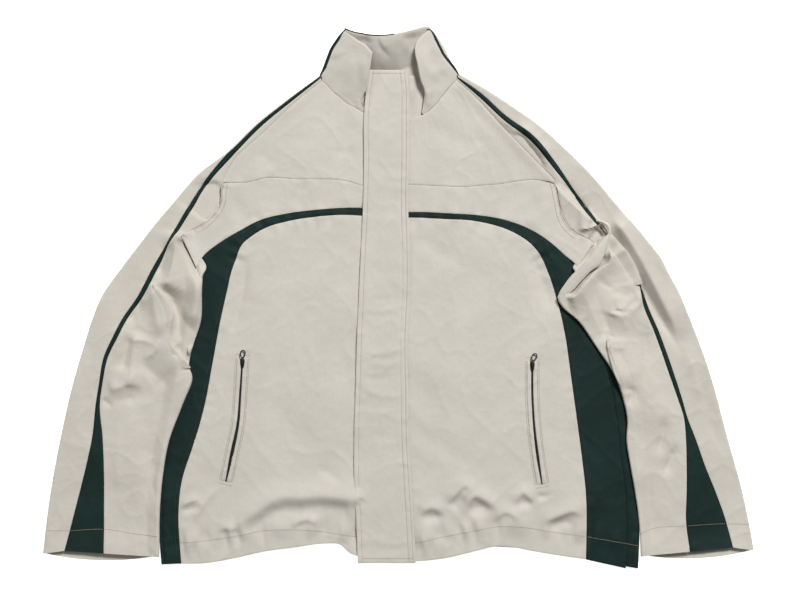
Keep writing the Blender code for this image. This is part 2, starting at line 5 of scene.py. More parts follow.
import bpy
import numpy as np
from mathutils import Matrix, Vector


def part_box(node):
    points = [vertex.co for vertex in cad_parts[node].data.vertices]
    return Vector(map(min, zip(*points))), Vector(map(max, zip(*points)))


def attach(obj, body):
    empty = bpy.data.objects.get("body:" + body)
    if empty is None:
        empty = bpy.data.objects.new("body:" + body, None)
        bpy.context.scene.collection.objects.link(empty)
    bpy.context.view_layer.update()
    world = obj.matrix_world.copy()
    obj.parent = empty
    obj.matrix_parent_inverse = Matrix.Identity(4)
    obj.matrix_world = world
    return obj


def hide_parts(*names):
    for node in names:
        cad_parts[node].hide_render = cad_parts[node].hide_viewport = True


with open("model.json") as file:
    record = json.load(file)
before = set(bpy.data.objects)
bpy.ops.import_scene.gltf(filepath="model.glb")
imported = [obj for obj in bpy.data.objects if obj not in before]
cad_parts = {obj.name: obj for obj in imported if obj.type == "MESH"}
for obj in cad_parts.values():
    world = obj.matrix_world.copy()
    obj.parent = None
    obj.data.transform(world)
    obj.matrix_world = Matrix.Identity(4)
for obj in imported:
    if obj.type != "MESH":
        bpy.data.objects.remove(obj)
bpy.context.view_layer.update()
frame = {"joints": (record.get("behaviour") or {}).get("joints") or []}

# A track jacket laid flat on its back. Every size is in millimetres; X runs across the front,
# Y from hem to collar, Z up. Left and right are as seen from above.
mm = 0.001
sides = ("left", "right")
inwardX = {"left": 1.0, "right": -1.0}   # the way along X from each side to the middle
cloth = {
    "wall": 1.6,        # cloth and lining, as the layers lie on each other
    "shell": 0.9,       # thickness that the drawn shell has
    "lift": 4.0,        # underside of the front layer above the floor
    "seamGap": 0.4,     # two pieces sewn edge to edge
    "layGap": 0.6,      # a piece lying on another
    "greenDrop": 0.3,   # the green panels' cloth is thinner and lies this much lower
    "step": 3.0,        # spacing of the grid that shows
}


def smooth(value):
    # 3v^2 - 2v^3 with v held between 0 and 1
    held = np.clip(value, 0.0, 1.0)
    return held * held * (3.0 - 2.0 * held)


def alongLength(points):
    # running length at each point of a path
    return np.concatenate([[0.0], np.cumsum(np.linalg.norm(np.diff(points, axis=0), axis=1))])


def curveThrough(points, at):
    # cubic Hermite curve through the points, tangents by differences over chord length, read at
    # fractions of its own length
    knots = np.array(points, dtype=float)
    chord = alongLength(knots)
    tangent = np.gradient(knots, chord, axis=0) if len(knots) > 2 else np.gradient(knots, axis=0) / chord[-1]
    place = np.linspace(0.0, chord[-1], 14 * len(knots))
    k = np.clip(np.searchsorted(chord, place, side="right") - 1, 0, len(knots) - 2)
    span = (chord[k + 1] - chord[k])[:, None]
    t = (place - chord[k])[:, None] / span
    dense = ((2 * t**3 - 3 * t**2 + 1) * knots[k] + (t**3 - 2 * t**2 + t) * span * tangent[k]
             + (3 * t**2 - 2 * t**3) * knots[k + 1] + (t**3 - t**2) * span * tangent[k + 1])
    length = alongLength(dense)
    target = np.asarray(at) * length[-1]
    return np.column_stack([np.interp(target, length, dense[:, a]) for a in range(knots.shape[1])])


def evenly(count):
    return np.linspace(0.0, 1.0, count)


def unit(ways):
    # each row at length 1
    return ways / np.linalg.norm(ways, axis=1)[:, None]


def between(first, last, share):
    # points from one path across to another, at shares of the way
    return first[:, None] * (1 - share) + last[:, None] * share


def atHeight(plan, z):
    return np.concatenate([plan, z[..., None]], axis=2)


def spread(length, step, rims=(True, True)):
    # fractions of a length: lines close together near a rim, where seams are, and even between
    near = np.array([0.0, 0.7, 1.5, 2.4, 3.5, 4.8, 6.4, 8.4])
    near = near[near < length * 0.2]
    head = near if rims[0] else near[:1]
    tail = length - near[::-1] if rims[1] else np.array([length])
    count = max(int(round((tail[0] - head[-1]) / step)), 2)
    middle = np.linspace(head[-1], tail[0], count + 1)[1:-1]
    return np.concatenate([head, middle, tail]) / length


def coonsGrid(bottom, top, left, right, u, v):
    # surface between four edge curves: both straight blends less the blend of the corners
    across = u[None, :, None]
    up = v[:, None, None]
    ruled = (1 - up) * bottom[None] + up * top[None] + (1 - across) * left[:, None] + across * right[:, None]
    corners = ((1 - up) * ((1 - across) * bottom[0] + across * bottom[-1])
               + up * ((1 - across) * top[0] + across * top[-1]))
    return ruled - corners


def rimDistance(grid, sidesUsed=(True, True, True, True)):
    # millimetres from each grid point to the nearest rim: first row, last row, first column, last column
    up = np.linalg.norm(np.diff(grid, axis=0), axis=2)
    across = np.linalg.norm(np.diff(grid, axis=1), axis=2)
    fromLow = np.pad(np.cumsum(up, axis=0), ((1, 0), (0, 0)))
    fromLeft = np.pad(np.cumsum(across, axis=1), ((0, 0), (1, 0)))
    each = [fromLow, fromLow[-1:] - fromLow, fromLeft, fromLeft[:, -1:] - fromLeft]
    return np.min([d for d, used in zip(each, sidesUsed) if used], axis=0)


def beside(x, y, path):
    # nearest point of a path: how far to its left (+) or right (-) a point lies, and how far along
    away = np.full(np.shape(x), 1e9)
    along = np.zeros(np.shape(x))
    run = alongLength(path)
    for start, way, passed in zip(path[:-1], np.diff(path, axis=0), run):
        length = max(math.hypot(*way), 1e-6)
        ahead = way / length
        share = np.clip((x - start[0]) * ahead[0] + (y - start[1]) * ahead[1], 0.0, length)
        dx = x - start[0] - share * ahead[0]
        dy = y - start[1] - share * ahead[1]
        turn = np.where(ahead[0] * dy - ahead[1] * dx >= 0, 1.0, -1.0)
        reach = np.hypot(dx, dy)
        closer = reach < np.abs(away)
        away = np.where(closer, turn * reach, away)
        along = np.where(closer, passed + share, along)
    return away, along


def noise(x, y, cell, seed):
    # value noise: a random lattice of this cell size, smoothly filled in, from -1 to 1
    lattice = np.random.default_rng(seed).uniform(-1.0, 1.0, (64, 64))
    u = np.asarray(x) / cell + 31.5
    v = np.asarray(y) / cell + 31.5
    i = np.floor(u).astype(int)
    j = np.floor(v).astype(int)
    a = smooth(u - i)
    b = smooth(v - j)
    nextI = (i + 1) % 64
    nextJ = (j + 1) % 64
    i %= 64
    j %= 64
    low = lattice[i, j] * (1 - a) + lattice[nextI, j] * a
    high = lattice[i, nextJ] * (1 - a) + lattice[nextI, nextJ] * a
    return low * (1 - b) + high * b


# A fold: the path of its crest, half width, height (negative is a trough), crest shape
# (2 is soft, 1 is sharp), lean (wider to the left of the path if positive) and how much of each end fades.
Fold = namedtuple("Fold", "path width height crest lean fade", defaults=(2.0, 0.0, (0.35, 0.35)))


def folded(x, y, folds):
    # sum of height * exp(-|away / width|^crest), faded at the ends of each path
    total = np.zeros(np.shape(x))
    for fold in folds:
        path = curveThrough(fold.path, evenly(20))
        margin = fold.width * (1.0 + abs(fold.lean)) * (5.0 if fold.crest < 1.5 else 2.6)
        low = path.min(axis=0) - margin
        high = path.max(axis=0) + margin
        near = (x > low[0]) & (x < high[0]) & (y > low[1]) & (y < high[1])
        if not near.any():
            continue
        away, along = beside(x[near], y[near], path)
        share = along / alongLength(path)[-1]
        ends = 1.0
        for fade, fromEnd in zip(fold.fade, (share, 1.0 - share)):
            if fade > 0:
                ends = ends * smooth(fromEnd / fade)
        width = fold.width * np.where(away > 0, 1.0 + fold.lean, 1.0 - fold.lean)
        total[near] += fold.height * np.exp(-np.abs(away / width) ** fold.crest) * ends
    return total


def crumple(x, y, seed, size=36.0, depth=0.45):
    # faint creases where a warped noise crosses zero: depth * (1 - |noise|)^6 at two sizes, and a soft swell
    warpX = x + 16.0 * noise(x, y, 70.0, seed + 1)
    warpY = y + 16.0 * noise(x, y, 70.0, seed + 2)
    coarse = (1.0 - np.abs(noise(warpX * 0.8 + warpY * 0.6, warpY * 0.8 - warpX * 0.6, size, seed + 3))) ** 6
    fine = (1.0 - np.abs(noise(warpX, warpY, size * 0.45, seed + 4))) ** 6
    swell = noise(x, y, 55.0, seed + 5) + 0.5 * noise(x, y, 27.0, seed + 6)
    return depth * (coarse + 0.45 * fine) + 0.5 * swell


def puckered(x, y, seam, reach, height, wave, seed):
    # short ripples square to a seam: noise along it at the wave's size, fading with distance from it
    path = curveThrough(seam, evenly(60))
    away, along = beside(x, y, path)
    ripple = noise(along, away * 0.25 + 200.0, wave, seed)
    return height * ripple * np.exp(-(away / reach) ** 2)


def gridFaces(n):
    # four-cornered faces of a grid of point numbers
    return np.stack([n[:-1, :-1], n[:-1, 1:], n[1:, 1:], n[1:, :-1]], axis=-1).reshape(-1, 4)


def outward(points, faces):
    # turns every face over if the closed shape's signed volume is negative
    corner = points[faces[:, :3]]
    volume = np.sum(corner[:, 0] * np.cross(corner[:, 1], corner[:, 2]))
    corner = points[faces[:, [0, 2, 3]]] if faces.shape[1] == 4 else corner * 0
    volume += np.sum(corner[:, 0] * np.cross(corner[:, 1], corner[:, 2]))
    return faces if volume > 0 else faces[:, ::-1]


def addObject(name, points, faces, material, uv=None, sharpAngle=55):
    mesh = bpy.data.meshes.new(name)
    faces = faces.tolist() if isinstance(faces, np.ndarray) else faces
    mesh.from_pydata((np.asarray(points) * mm).tolist(), [], faces)
    if uv is not None:
        corners = np.zeros(len(mesh.loops), dtype=np.int32)
        mesh.loops.foreach_get("vertex_index", corners)
        layer = mesh.uv_layers.new(name="cloth")
        layer.data.foreach_set("uv", (np.asarray(uv)[corners] * mm).ravel().astype(np.float32))
    mesh.shade_smooth()
    mesh.set_sharp_from_angle(angle=math.radians(sharpAngle))
    mesh.materials.append(material)
    piece = bpy.data.objects.new(name, mesh)
    bpy.context.scene.collection.objects.link(piece)
    return piece


def gridNormals(grid):
    # cross product of the two grid directions, made unit length
    normal = np.cross(np.gradient(grid, axis=1), np.gradient(grid, axis=0))
    return normal / np.maximum(np.linalg.norm(normal, axis=2), 1e-9)[..., None]


def shellOf(name, outer, material, uv, thick=None, inward="all"):
    # closed shell under a grid: the grid, a copy moved in along its normals, and a rim between them;
    # inward names the columns that lie on top, whose normals show which way is in
    rows, columns = outer.shape[:2]
    thick = cloth["shell"] if thick is None else thick
    normal = gridNormals(outer)
    onTop = {"all": slice(None), "first": slice(0, 2), "last": slice(-3, -1),
             "middle": slice(columns // 2 - 1, columns // 2 + 1)}[inward]
    normal *= -1.0 if normal[:, onTop, 2].mean() > 0 else 1.0
    inner = outer + normal * thick
    n = np.arange(rows * columns).reshape(rows, columns)
    top = gridFaces(n)
    rim = np.concatenate([n[0, :], n[1:, -1], n[-1, -2::-1], n[-2::-1, 0]])
    below = rows * columns
    edge = np.stack([rim[:-1], rim[:-1] + below, rim[1:] + below, rim[1:]], axis=1)
    faces = np.concatenate([top, top[:, ::-1] + below, edge])
    points = np.concatenate([outer.reshape(-1, 3), inner.reshape(-1, 3)])
    both = np.concatenate([uv.reshape(-1, 2)] * 2)
    return addObject(name, points, outward(points, faces), material, both)


def layCloth(name, node, outer, material, grain=0.0, inward="all"):
    # a sheet of cloth that stands for one node; its weave runs along the grain's direction
    turn = math.radians(grain)
    x, y = outer[..., 0], outer[..., 1]
    uv = np.stack([x * math.cos(turn) + y * math.sin(turn),
                   y * math.cos(turn) - x * math.sin(turn)], axis=-1)
    piece = shellOf(name, outer, material, uv, inward=inward)
    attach(piece, "jacket")
    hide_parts(node)
    return piece


def plainPiece(name, node, outer, material, thick=None, inward="all"):
    # trim too narrow to be a sheet of its own
    piece = shellOf(name, outer, material, outer[..., :2], thick, inward)
    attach(piece, "jacket")
    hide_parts(node)
    return piece


def ringTube(points, radius, around=12, closed=True):
    # a round section carried along a path, turned to stay square to it
    if closed:
        ahead = unit(np.roll(points, -1, axis=0) - np.roll(points, 1, axis=0))
    else:
        ahead = unit(np.gradient(points, axis=0))
    upward = np.tile([0.0, 0.0, 1.0], (len(points), 1))
    flat = np.cross(upward, ahead)
    flat /= np.maximum(np.linalg.norm(flat, axis=1), 1e-6)[:, None]
    upward = np.cross(ahead, flat)
    angle = np.arange(around) * 2 * np.pi / around
    grid = (points[:, None] + radius * (flat[:, None] * np.cos(angle)[None, :, None]
                                        + upward[:, None] * np.sin(angle)[None, :, None]))
    n = np.arange(len(points) * around).reshape(len(points), around)
    if closed:
        n = np.vstack([n, n[:1]])
    n = np.column_stack([n, n[:, 0]])
    points = grid.reshape(-1, 3)
    return (points, outward(points, gridFaces(n))) if closed else closedLoft(points, n)


def closedLoft(points, n):
    # rings of points joined up, and the first and last ring closed with a centre point each
    first, last = n[0].tolist(), n[-1].tolist()
    points = np.vstack([points, points[first[:-1]].mean(axis=0), points[last[:-1]].mean(axis=0)])
    faces = [tuple(face) for face in gridFaces(n).tolist()]
    faces += [(len(points) - 2, a, b) for a, b in zip(first[1:], first[:-1])]
    faces += [(len(points) - 1, a, b) for a, b in zip(last[:-1], last[1:])]
    return points, outwardMixed(points, faces)


def outwardMixed(points, faces):
    # turns a list of three- or four-cornered faces over if the closed shape's signed volume is negative
    volume = 0.0
    for face in faces:
        a = points[face[0]]
        for b, c in zip(face[1:-1], face[2:]):
            volume += float(np.dot(a, np.cross(points[b], points[c])))
    return faces if volume > 0 else [tuple(reversed(face)) for face in faces]


def linear(hexCode, alpha=1.0):
    # sRGB hex to linear light: c / 12.92 below 0.04045, else ((c + 0.055) / 1.055)^2.4
    parts = [int(hexCode[k:k + 2], 16) / 255 for k in (1, 3, 5)]
    return tuple(c / 12.92 if c <= 0.04045 else ((c + 0.055) / 1.055) ** 2.4 for c in parts) + (alpha,)


def addNode(tree, kind, values=None, sources=None, **settings):
    # one node: its own settings, the numbers on its sockets, and what is linked into them
    node = tree.nodes.new(kind)
    for key, value in settings.items():
        setattr(node, key, value)
    for key, value in (values or {}).items():
        node.inputs[key].default_value = value
    for key, source in (sources or {}).items():
        tree.links.new(source, node.inputs[key])
    return node


def newMaterial(name, shaderValues):
    material = bpy.data.materials.new(name)
    material.use_nodes = True
    tree = material.node_tree
    tree.nodes.clear()
    shader = addNode(tree, "ShaderNodeBsdfPrincipled", values=shaderValues)
    addNode(tree, "ShaderNodeOutputMaterial", sources={"Surface": shader.outputs["BSDF"]})
    return material, tree, shader


def wovenShell(name, light, dark, roughness, sheen, threadMm=0.9, crinkleMm=14.0, crinkle=0.35,
               specular=0.22):
    # Plain-weave polyester shell cloth, calendered: matt with a faint bloom at grazing angles, tiny
    # crossing threads, slubs along the grain and soft crinkles from folding. Real threads are about
    # 0.25 mm apart, too fine to show at this size, so they are drawn at threadMm.
    material, tree, shader = newMaterial(name, {
        "Roughness": roughness, "Sheen Weight": sheen, "Sheen Roughness": 0.45,
        "IOR": 1.46, "Specular IOR Level": specular})
    place = addNode(tree, "ShaderNodeUVMap", uv_map="cloth").outputs["UV"]
    waveScale = 2 * math.pi / (20 * threadMm * mm)   # a wave texture turns 20 radians a unit
    warp = addNode(tree, "ShaderNodeTexWave", {"Scale": waveScale, "Distortion": 0.6, "Detail": 1.0},
                   {"Vector": place}, wave_type="BANDS", bands_direction="X")
    weft = addNode(tree, "ShaderNodeTexWave", {"Scale": waveScale, "Distortion": 0.6, "Detail": 1.0},
                   {"Vector": place}, wave_type="BANDS", bands_direction="Y")
    weave = addNode(tree, "ShaderNodeMath", {}, {0: warp.outputs["Fac"], 1: weft.outputs["Fac"]},
                    operation="MULTIPLY")
    stretched = addNode(tree, "ShaderNodeMapping", {"Scale": (1.0, 0.25, 1.0)}, {"Vector": place})
    slub = addNode(tree, "ShaderNodeTexNoise", {"Scale": 1 / (2.6 * mm), "Detail": 3.0, "Roughness": 0.6},
                   {"Vector": stretched.outputs["Vector"]})
    crease = addNode(tree, "ShaderNodeTexNoise",
                     {"Scale": 1 / (crinkleMm * mm), "Detail": 4.0, "Roughness": 0.55, "Distortion": 0.8},
                     {"Vector": place})
    cloud = addNode(tree, "ShaderNodeTexNoise", {"Scale": 1 / (70 * mm), "Detail": 3.0, "Roughness": 0.6},
                    {"Vector": place})
    tone = addNode(tree, "ShaderNodeMath", {1: 0.35}, {0: slub.outputs["Fac"]}, operation="MULTIPLY")
    tone = addNode(tree, "ShaderNodeMath", {1: 0.65}, {0: cloud.outputs["Fac"], 2: tone.outputs["Value"]},
                   operation="MULTIPLY_ADD")
    colour = addNode(tree, "ShaderNodeValToRGB", {}, {"Fac": tone.outputs["Value"]})
    colour.color_ramp.elements[0].position = 0.32
    colour.color_ramp.elements[0].color = linear(dark)
    colour.color_ramp.elements[1].position = 0.66
    colour.color_ramp.elements[1].color = linear(light)
    fine = addNode(tree, "ShaderNodeBump", {"Strength": 0.35, "Distance": 0.05 * mm},
                   {"Height": weave.outputs["Value"]})
    rough = addNode(tree, "ShaderNodeBump", {"Strength": 0.5, "Distance": 0.12 * mm},
                    {"Height": slub.outputs["Fac"], "Normal": fine.outputs["Normal"]})
    soft = addNode(tree, "ShaderNodeBump", {"Strength": 0.8, "Distance": crinkle * mm * 2.0},
                   {"Height": crease.outputs["Fac"], "Normal": rough.outputs["Normal"]})
    tree.links.new(colour.outputs["Color"], shader.inputs["Base Color"])
    tree.links.new(soft.outputs["Normal"], shader.inputs["Normal"])
    return material


shells = {
    # the sleeves' stone cloth is a copy painted a shade darker: painted shade for how its weave, on another
    # grain, catches the light
    "stone": wovenShell("woven polyester shell, stone", "#d2cdc3", "#c8c3b8", 0.78, 0.06),
    "stoneSleevePaintedShade": wovenShell("woven polyester shell, stone, sleeve grain", "#d1ccc1", "#c6c0b5",
                              0.78, 0.06),
    "green": wovenShell("woven polyester shell, dark green", "#1a2f2c", "#132421", 0.62, 0.03, crinkle=0.22,
                        specular=0.16),
}


def slantBands(tree, size, distortion):
    # bands that slant across an object, size millimetres apart
    place = addNode(tree, "ShaderNodeTexCoord").outputs["Object"]
    bands = addNode(tree, "ShaderNodeTexWave",
                    {"Scale": 2 * math.pi / (20 * size * mm), "Distortion": distortion},
                    {"Vector": place}, wave_type="BANDS", bands_direction="DIAGONAL")
    return bands.outputs["Fac"]


def cloudGrain(tree, size, detail):
    # cloudy noise in an object, its largest forms size millimetres wide
    place = addNode(tree, "ShaderNodeTexCoord").outputs["Object"]
    return addNode(tree, "ShaderNodeTexNoise", {"Scale": 1 / (size * mm), "Detail": detail},
                   {"Vector": place}).outputs["Fac"]


def twoTone(tree, shader, pattern, dark, light):
    # base colour from dark to light as the pattern says
    colour = addNode(tree, "ShaderNodeMixRGB", {"Color1": linear(dark), "Color2": linear(light)},
                     {"Fac": pattern})
    tree.links.new(colour.outputs["Color"], shader.inputs["Base Color"])


def embossed(tree, shader, pattern, strength, depth):
    # a bump, depth millimetres high, as the pattern says
    bump = addNode(tree, "ShaderNodeBump", {"Strength": strength, "Distance": depth * mm},
                   {"Height": pattern})
    tree.links.new(bump.outputs["Normal"], shader.inputs["Normal"])


def unevenGloss(tree, shader, pattern, least, most):
    # roughness from least to most as the pattern says
    rough = addNode(tree, "ShaderNodeMapRange", {"To Min": least, "To Max": most}, {"Value": pattern})
    tree.links.new(rough.outputs["Result"], shader.inputs["Roughness"])


def spunThread(name, light, dark):
    # Spun polyester sewing thread: matt, with two plies that show as faint slanting bands.
    material, tree, shader = newMaterial(name, {"Roughness": 0.7, "Sheen Weight": 0.2, "IOR": 1.5})
    ply = slantBands(tree, 0.5, 1.0)
    twoTone(tree, shader, ply, dark, light)
    embossed(tree, shader, ply, 0.5, 0.05)
    return material


threads = {
    # the stone thread is painted darker than the cloth it matches: painted shade for the groove each stitch
    # sinks into
    "stone": spunThread("spun polyester thread, painted groove shade, stone", "#958c7c", "#7c7465"),
    "tan": spunThread("spun polyester thread, tan", "#a79c86", "#8d836f"),
    "green": spunThread("spun polyester thread, dark green", "#1d3130", "#132322"),
}


def zipTape(name):
    # Woven polyester zip tape, dyed black: dull, with a fine herringbone across it.
    material, tree, shader = newMaterial(name, {"Roughness": 0.68, "Sheen Weight": 0.15, "IOR": 1.46})
    rib = slantBands(tree, 0.8, 0.5)
    twoTone(tree, shader, rib, "#101112", "#1f2021")
    embossed(tree, shader, rib, 0.6, 0.08)
    return material


def enamelledZinc(name):
    # Die-cast zinc with black baked enamel: semi-gloss, worn a little greyer where hands touch it.
    material, tree, shader = newMaterial(name, {"Metallic": 0.0, "IOR": 1.52, "Coat Weight": 0.1,
                                                "Coat Roughness": 0.3, "Specular IOR Level": 0.35})
    grain = cloudGrain(tree, 1.5, 3.0)
    twoTone(tree, shader, grain, "#08090a", "#131415")
    unevenGloss(tree, shader, grain, 0.38, 0.58)
    return material


def mouldedNylon(name):
    # Nylon coil, extruded and dyed black: smooth with a narrow soft highlight on each turn.
    material, tree, shader = newMaterial(name, {"IOR": 1.53, "Specular IOR Level": 0.3})
    grain = cloudGrain(tree, 2.0, 2.0)
    twoTone(tree, shader, grain, "#08090a", "#101112")
    unevenGloss(tree, shader, grain, 0.32, 0.48)
    return material


hardware = {
    "tape": zipTape("woven zip tape, black"),
    "coil": mouldedNylon("extruded nylon zip coil, black"),
    "metal": enamelledZinc("die-cast zinc, black enamel"),
}
print("materials are ready")


# the cut: seams and edges that pieces share
# from the neck to the cuff, a row each: x and y of the edge on the body's side, x and y of the stripe's
# outer line and its width, x and y of the outer fold
sleeveCut = {
    "left": [
        (-111, 315, -114, 321, 3, -114.6, 321.8), (-152, 281, -157, 290, 5.5, -157.6, 290.8),
        (-191, 243, -201, 256, 7, -201.8, 256.8), (-238, 199, -250, 207, 8, -252, 209),
        (-255, 167, -279, 172, 7, -289, 181), (-262, 130, -308, 127, 8, -332, 132),
        (-285, 106, -326, 96, 8, -354, 106), (-314, 89, -340, 71, 8, -371, 84),
        (-286, 42, -358, 40, 8, -400, 46), (-284, 4, -378, 2, 8, -429, 5),
        (-286, -35, -400, -30, 7, -445, -33), (-296, -65, -413, -55, 7, -455, -65),
        (-303, -97, -428, -89, 6, -465, -98), (-298, -118, -434, -124, 5, -473, -127),
        (-312, -155, -439, -156, 6, -481, -160), (-331, -205, -444, -202, 15, -490, -202),
        (-340.5, -255, -455, -253, 28, -500, -253), (-345, -305, -468, -304, 41, -508, -304),
        (-346, -376, -484, -367, 57, -516, -371),
    ],
    "right": [
        (84, 316, 86, 320, 2, 90, 324), (113, 289, 118, 298, 6, 125, 304),
        (150, 248, 157, 263, 7, 171, 274), (178, 219, 194, 236, 8, 206, 249),
        (205, 191, 227, 197, 8, 252, 207), (227, 167, 255, 156, 8, 286, 172),
        (234, 136, 275, 129, 8, 311, 142), (241, 111, 289, 109, 5, 333, 116),
        (255, 95, 300, 93, 1, 349, 98), (282, 79, 312, 76, 1, 364, 79),
        (260, 44, 327, 57, 1, 381, 57), (245, 22, 341, 36, 1, 395, 30),
        (231, 2, 352, 18, 2.5, 408, 6), (236, -12, 361, -10, 6, 418, -18),
        (262, -36, 377, -48, 7, 431, -50), (288, -74, 389, -80, 7, 443, -82),
        (311, -109, 400, -112, 7, 454, -115), (324, -143, 411, -146, 6, 463, -146),
        (331, -176, 419, -174, 5, 471, -177), (330, -205, 431, -205, 14, 479, -207),
        (336, -245, 445, -245, 27, 490, -246), (343, -285, 460, -282, 42, 500, -284),
        (348, -322, 473, -318, 56, 508, -322), (351, -375, 485, -362, 63, 516, -366),
    ],
}
yokeEnd = {"left": 4, "right": 5}    # sleeve row where the yoke seam meets the armhole
underarm = {"left": 7, "right": 9}   # sleeve row at the underarm point

# from the centre front along the chest band and down the side to the hem, a row each: x and y of the outer
# edge, x and y of the edge on the front, and how far the green goes round to the back
greenCut = {
    "left": [
        (-24, 129, -24, 117, 0), (-80, 130, -86, 120, 0),
        (-121, 127, -123, 117, 0), (-166, 121, -160, 111, 0),
        (-201, 112, -191, 102, 0), (-230, 97, -213, 89, 0),
        (-260, 79, -228, 75, 0), (-283, 60, -236, 55, 0),
        (-292, 42, -242, 38, 2), (-290, 12, -248, 12, 14),
        (-302, -40, -259, -38, 32), (-314, -95, -269, -92, 40),
        (-327, -160, -282, -160, 40), (-333, -190, -290, -190, 40),
        (-338, -220, -299, -218, 40), (-346, -265, -314, -265, 40),
        (-347, -310, -319, -310, 40), (-347, -350, -318, -350, 40),
        (-344, -387, -315, -386, 40),
    ],
    "right": [
        (-10, 123, -10, 116, 0), (33, 124, 30, 116, 0),
        (73, 122, 68, 114, 0), (118, 119, 106, 112, 0),
        (153, 113, 136, 106, 0), (193, 98, 168, 94, 0),
        (218, 82, 191, 79, 0), (241, 62, 207, 59, 0),
        (260, 44, 218, 34, 2), (268, 4, 229, 0, 14),
        (292, -55, 242, -56, 32), (318, -112, 250, -112, 40),
        (334, -170, 258, -170, 40), (341, -230, 266, -230, 40),
        (348, -285, 272, -285, 40), (350, -340, 273, -335, 40),
        (348, -393, 272, -380, 40),
    ],
}
tipRow = 8                                # green row where the band turns down the side
sideWrap = {"left": 5.0, "right": 18.0}   # how far the back side piece comes round to the top
hemSlope = {"left": 0.02, "right": 0.17}  # rise of the hem, per millimetre in from the side

seamLines = {
    "neck": {
        "left": [(-111, 315), (-104, 309), (-96, 300), (-84, 290), (-73, 281),
                 (-60, 274), (-50, 268), (-38, 262), (-24, 258)],
        "right": [(84, 316), (74, 305), (65, 294), (57, 284), (49, 275),
                  (42, 269), (35, 265), (15, 259), (-10, 258)]},
    "yoke": {
        "left": [(-255, 167), (-215, 168), (-196, 173), (-143, 172), (-115, 172),
                 (-88, 171), (-70, 168), (-54, 163), (-24, 162)],
        "right": [(227, 167), (193, 171), (172, 169), (148, 165), (122, 163),
                  (98, 161), (60, 162), (14, 164), (-10, 164)]},
    "hem": {
        "left": [(-315, -386), (-286, -386), (-236, -378), (-197, -369), (-153, -363),
                 (-103, -357), (-86, -358), (-72, -370), (-24, -380)],
        "right": [(272, -380), (237, -375), (195, -368), (162, -362), (143, -361),
                  (112, -368), (70, -378), (25, -383), (-10, -384)]},
    "hemStitch": {
        "left": [(-318, -356), (-282, -353), (-236, -346), (-194, -338), (-125, -338), (-62, -347)],
        "right": [(24, -356), (57, -349), (112, -338), (145, -332), (179, -333), (223, -340),
                  (274, -347), (315, -354), (348, -360)]},
    "backHem": [(-304, -384), (-205, -367), (-103, -353), (-5, -372), (100, -361), (205, -366), (308, -387)],
    "backNeck": [(-111, 315), (-84, 308), (-50, 303), (-14, 301), (24, 303), (58, 309), (84, 316)],
}
centre = {"x": -17.0, "zipHalf": 7.0, "zipTop": 252.0, "zipBottom": -372.0}
rowParts = 12   # parts that the smooth curve between two rows of a table is read in


def denseRows(table):
    # cubic Hermite curve through whole rows of a table, each interval in rowParts equal parts
    rows = np.array(table, dtype=float)
    chord = alongLength(rows)
    tangent = np.gradient(rows, chord, axis=0)
    t = np.linspace(0.0, 1.0, rowParts + 1)[None, :-1, None]
    span = np.diff(chord)[:, None, None]
    a, b = rows[:-1, None], rows[1:, None]
    da, db = tangent[:-1, None] * span, tangent[1:, None] * span
    dense = ((2 * t**3 - 3 * t**2 + 1) * a + (t**3 - 2 * t**2 + t) * da
             + (3 * t**2 - 2 * t**3) * b + (t**3 - t**2) * db)
    return np.concatenate([dense.reshape(-1, rows.shape[1]), rows[-1:]])


def resample(path, at):
    # reads a dense path at fractions of its length, whatever columns it has
    path = np.asarray(path, dtype=float)
    length = alongLength(path[:, :2])
    target = np.asarray(at) * length[-1]
    return np.column_stack([np.interp(target, length, path[:, a]) for a in range(path.shape[1])])


sleeveRows = {side: denseRows(sleeveCut[side]) for side in sides}
greenRows = {side: denseRows(greenCut[side]) for side in sides}


def sleeveEdge(side, first, last):
    # the sleeve's edge on the body's side between two rows of the cut
    return sleeveRows[side][first * rowParts:last * rowParts + 1, :2]


def bandEdge(side):
    return greenRows[side][:tipRow * rowParts + 1, :2]


def drawIn(grid, distance, rims=(True, True, True, True)):
    # moves each rim of a plan grid inwards along the grid, to leave the seam's gap
    moved = grid.copy()
    pairs = [((0, slice(None)), (1, slice(None))), ((-1, slice(None)), (-2, slice(None))),
             ((slice(None), 0), (slice(None), 1)), ((slice(None), -1), (slice(None), -2))]
    for (rim, inside), used in zip(pairs, rims):
        if used:
            way = moved[inside] - moved[rim]
            moved[rim] += way / np.maximum(np.linalg.norm(way, axis=1), 1e-6)[:, None] * distance
    return moved


Mound = namedtuple("Mound", "x y reach width turn height")
mounds = {
    "body": [
        Mound(-150, -110, 190, 120, 90, 3.0),
        Mound(135, -110, 190, 120, 90, 3.0),
        Mound(-130, 225, 90, 60, 35, 2.0),
        Mound(110, 225, 90, 60, -40, 2.0),
        Mound(-120, -292, 80, 34, 8, 2.5),
        Mound(115, -300, 70, 34, -20, 2.0),
    ],
    "sleeve": [
        Mound(-322, 10, 70, 26, 70, 5.0),
        Mound(-325, -100, 60, 26, -70, 5.0),
        Mound(-395, -180, 120, 30, -80, 5.0),
        Mound(262, 30, 60, 24, 50, 4.0),
        Mound(305, -5, 50, 30, -35, 5.5),
        Mound(362, 90, 90, 24, -55, 6.0),
        Mound(355, -130, 110, 28, -65, 6.0),
    ],
}


def raised(x, y, forms):
    # sum of long soft mounds, height * exp(-(along/reach)^2 - (across/width)^2)
    total = np.zeros(np.shape(x))
    for form in forms:
        turn = math.radians(form.turn)
        along = (x - form.x) * math.cos(turn) + (y - form.y) * math.sin(turn)
        across = (y - form.y) * math.cos(turn) - (x - form.x) * math.sin(turn)
        total = total + form.height * np.exp(-(along / form.reach) ** 2 - (across / form.width) ** 2)
    return total


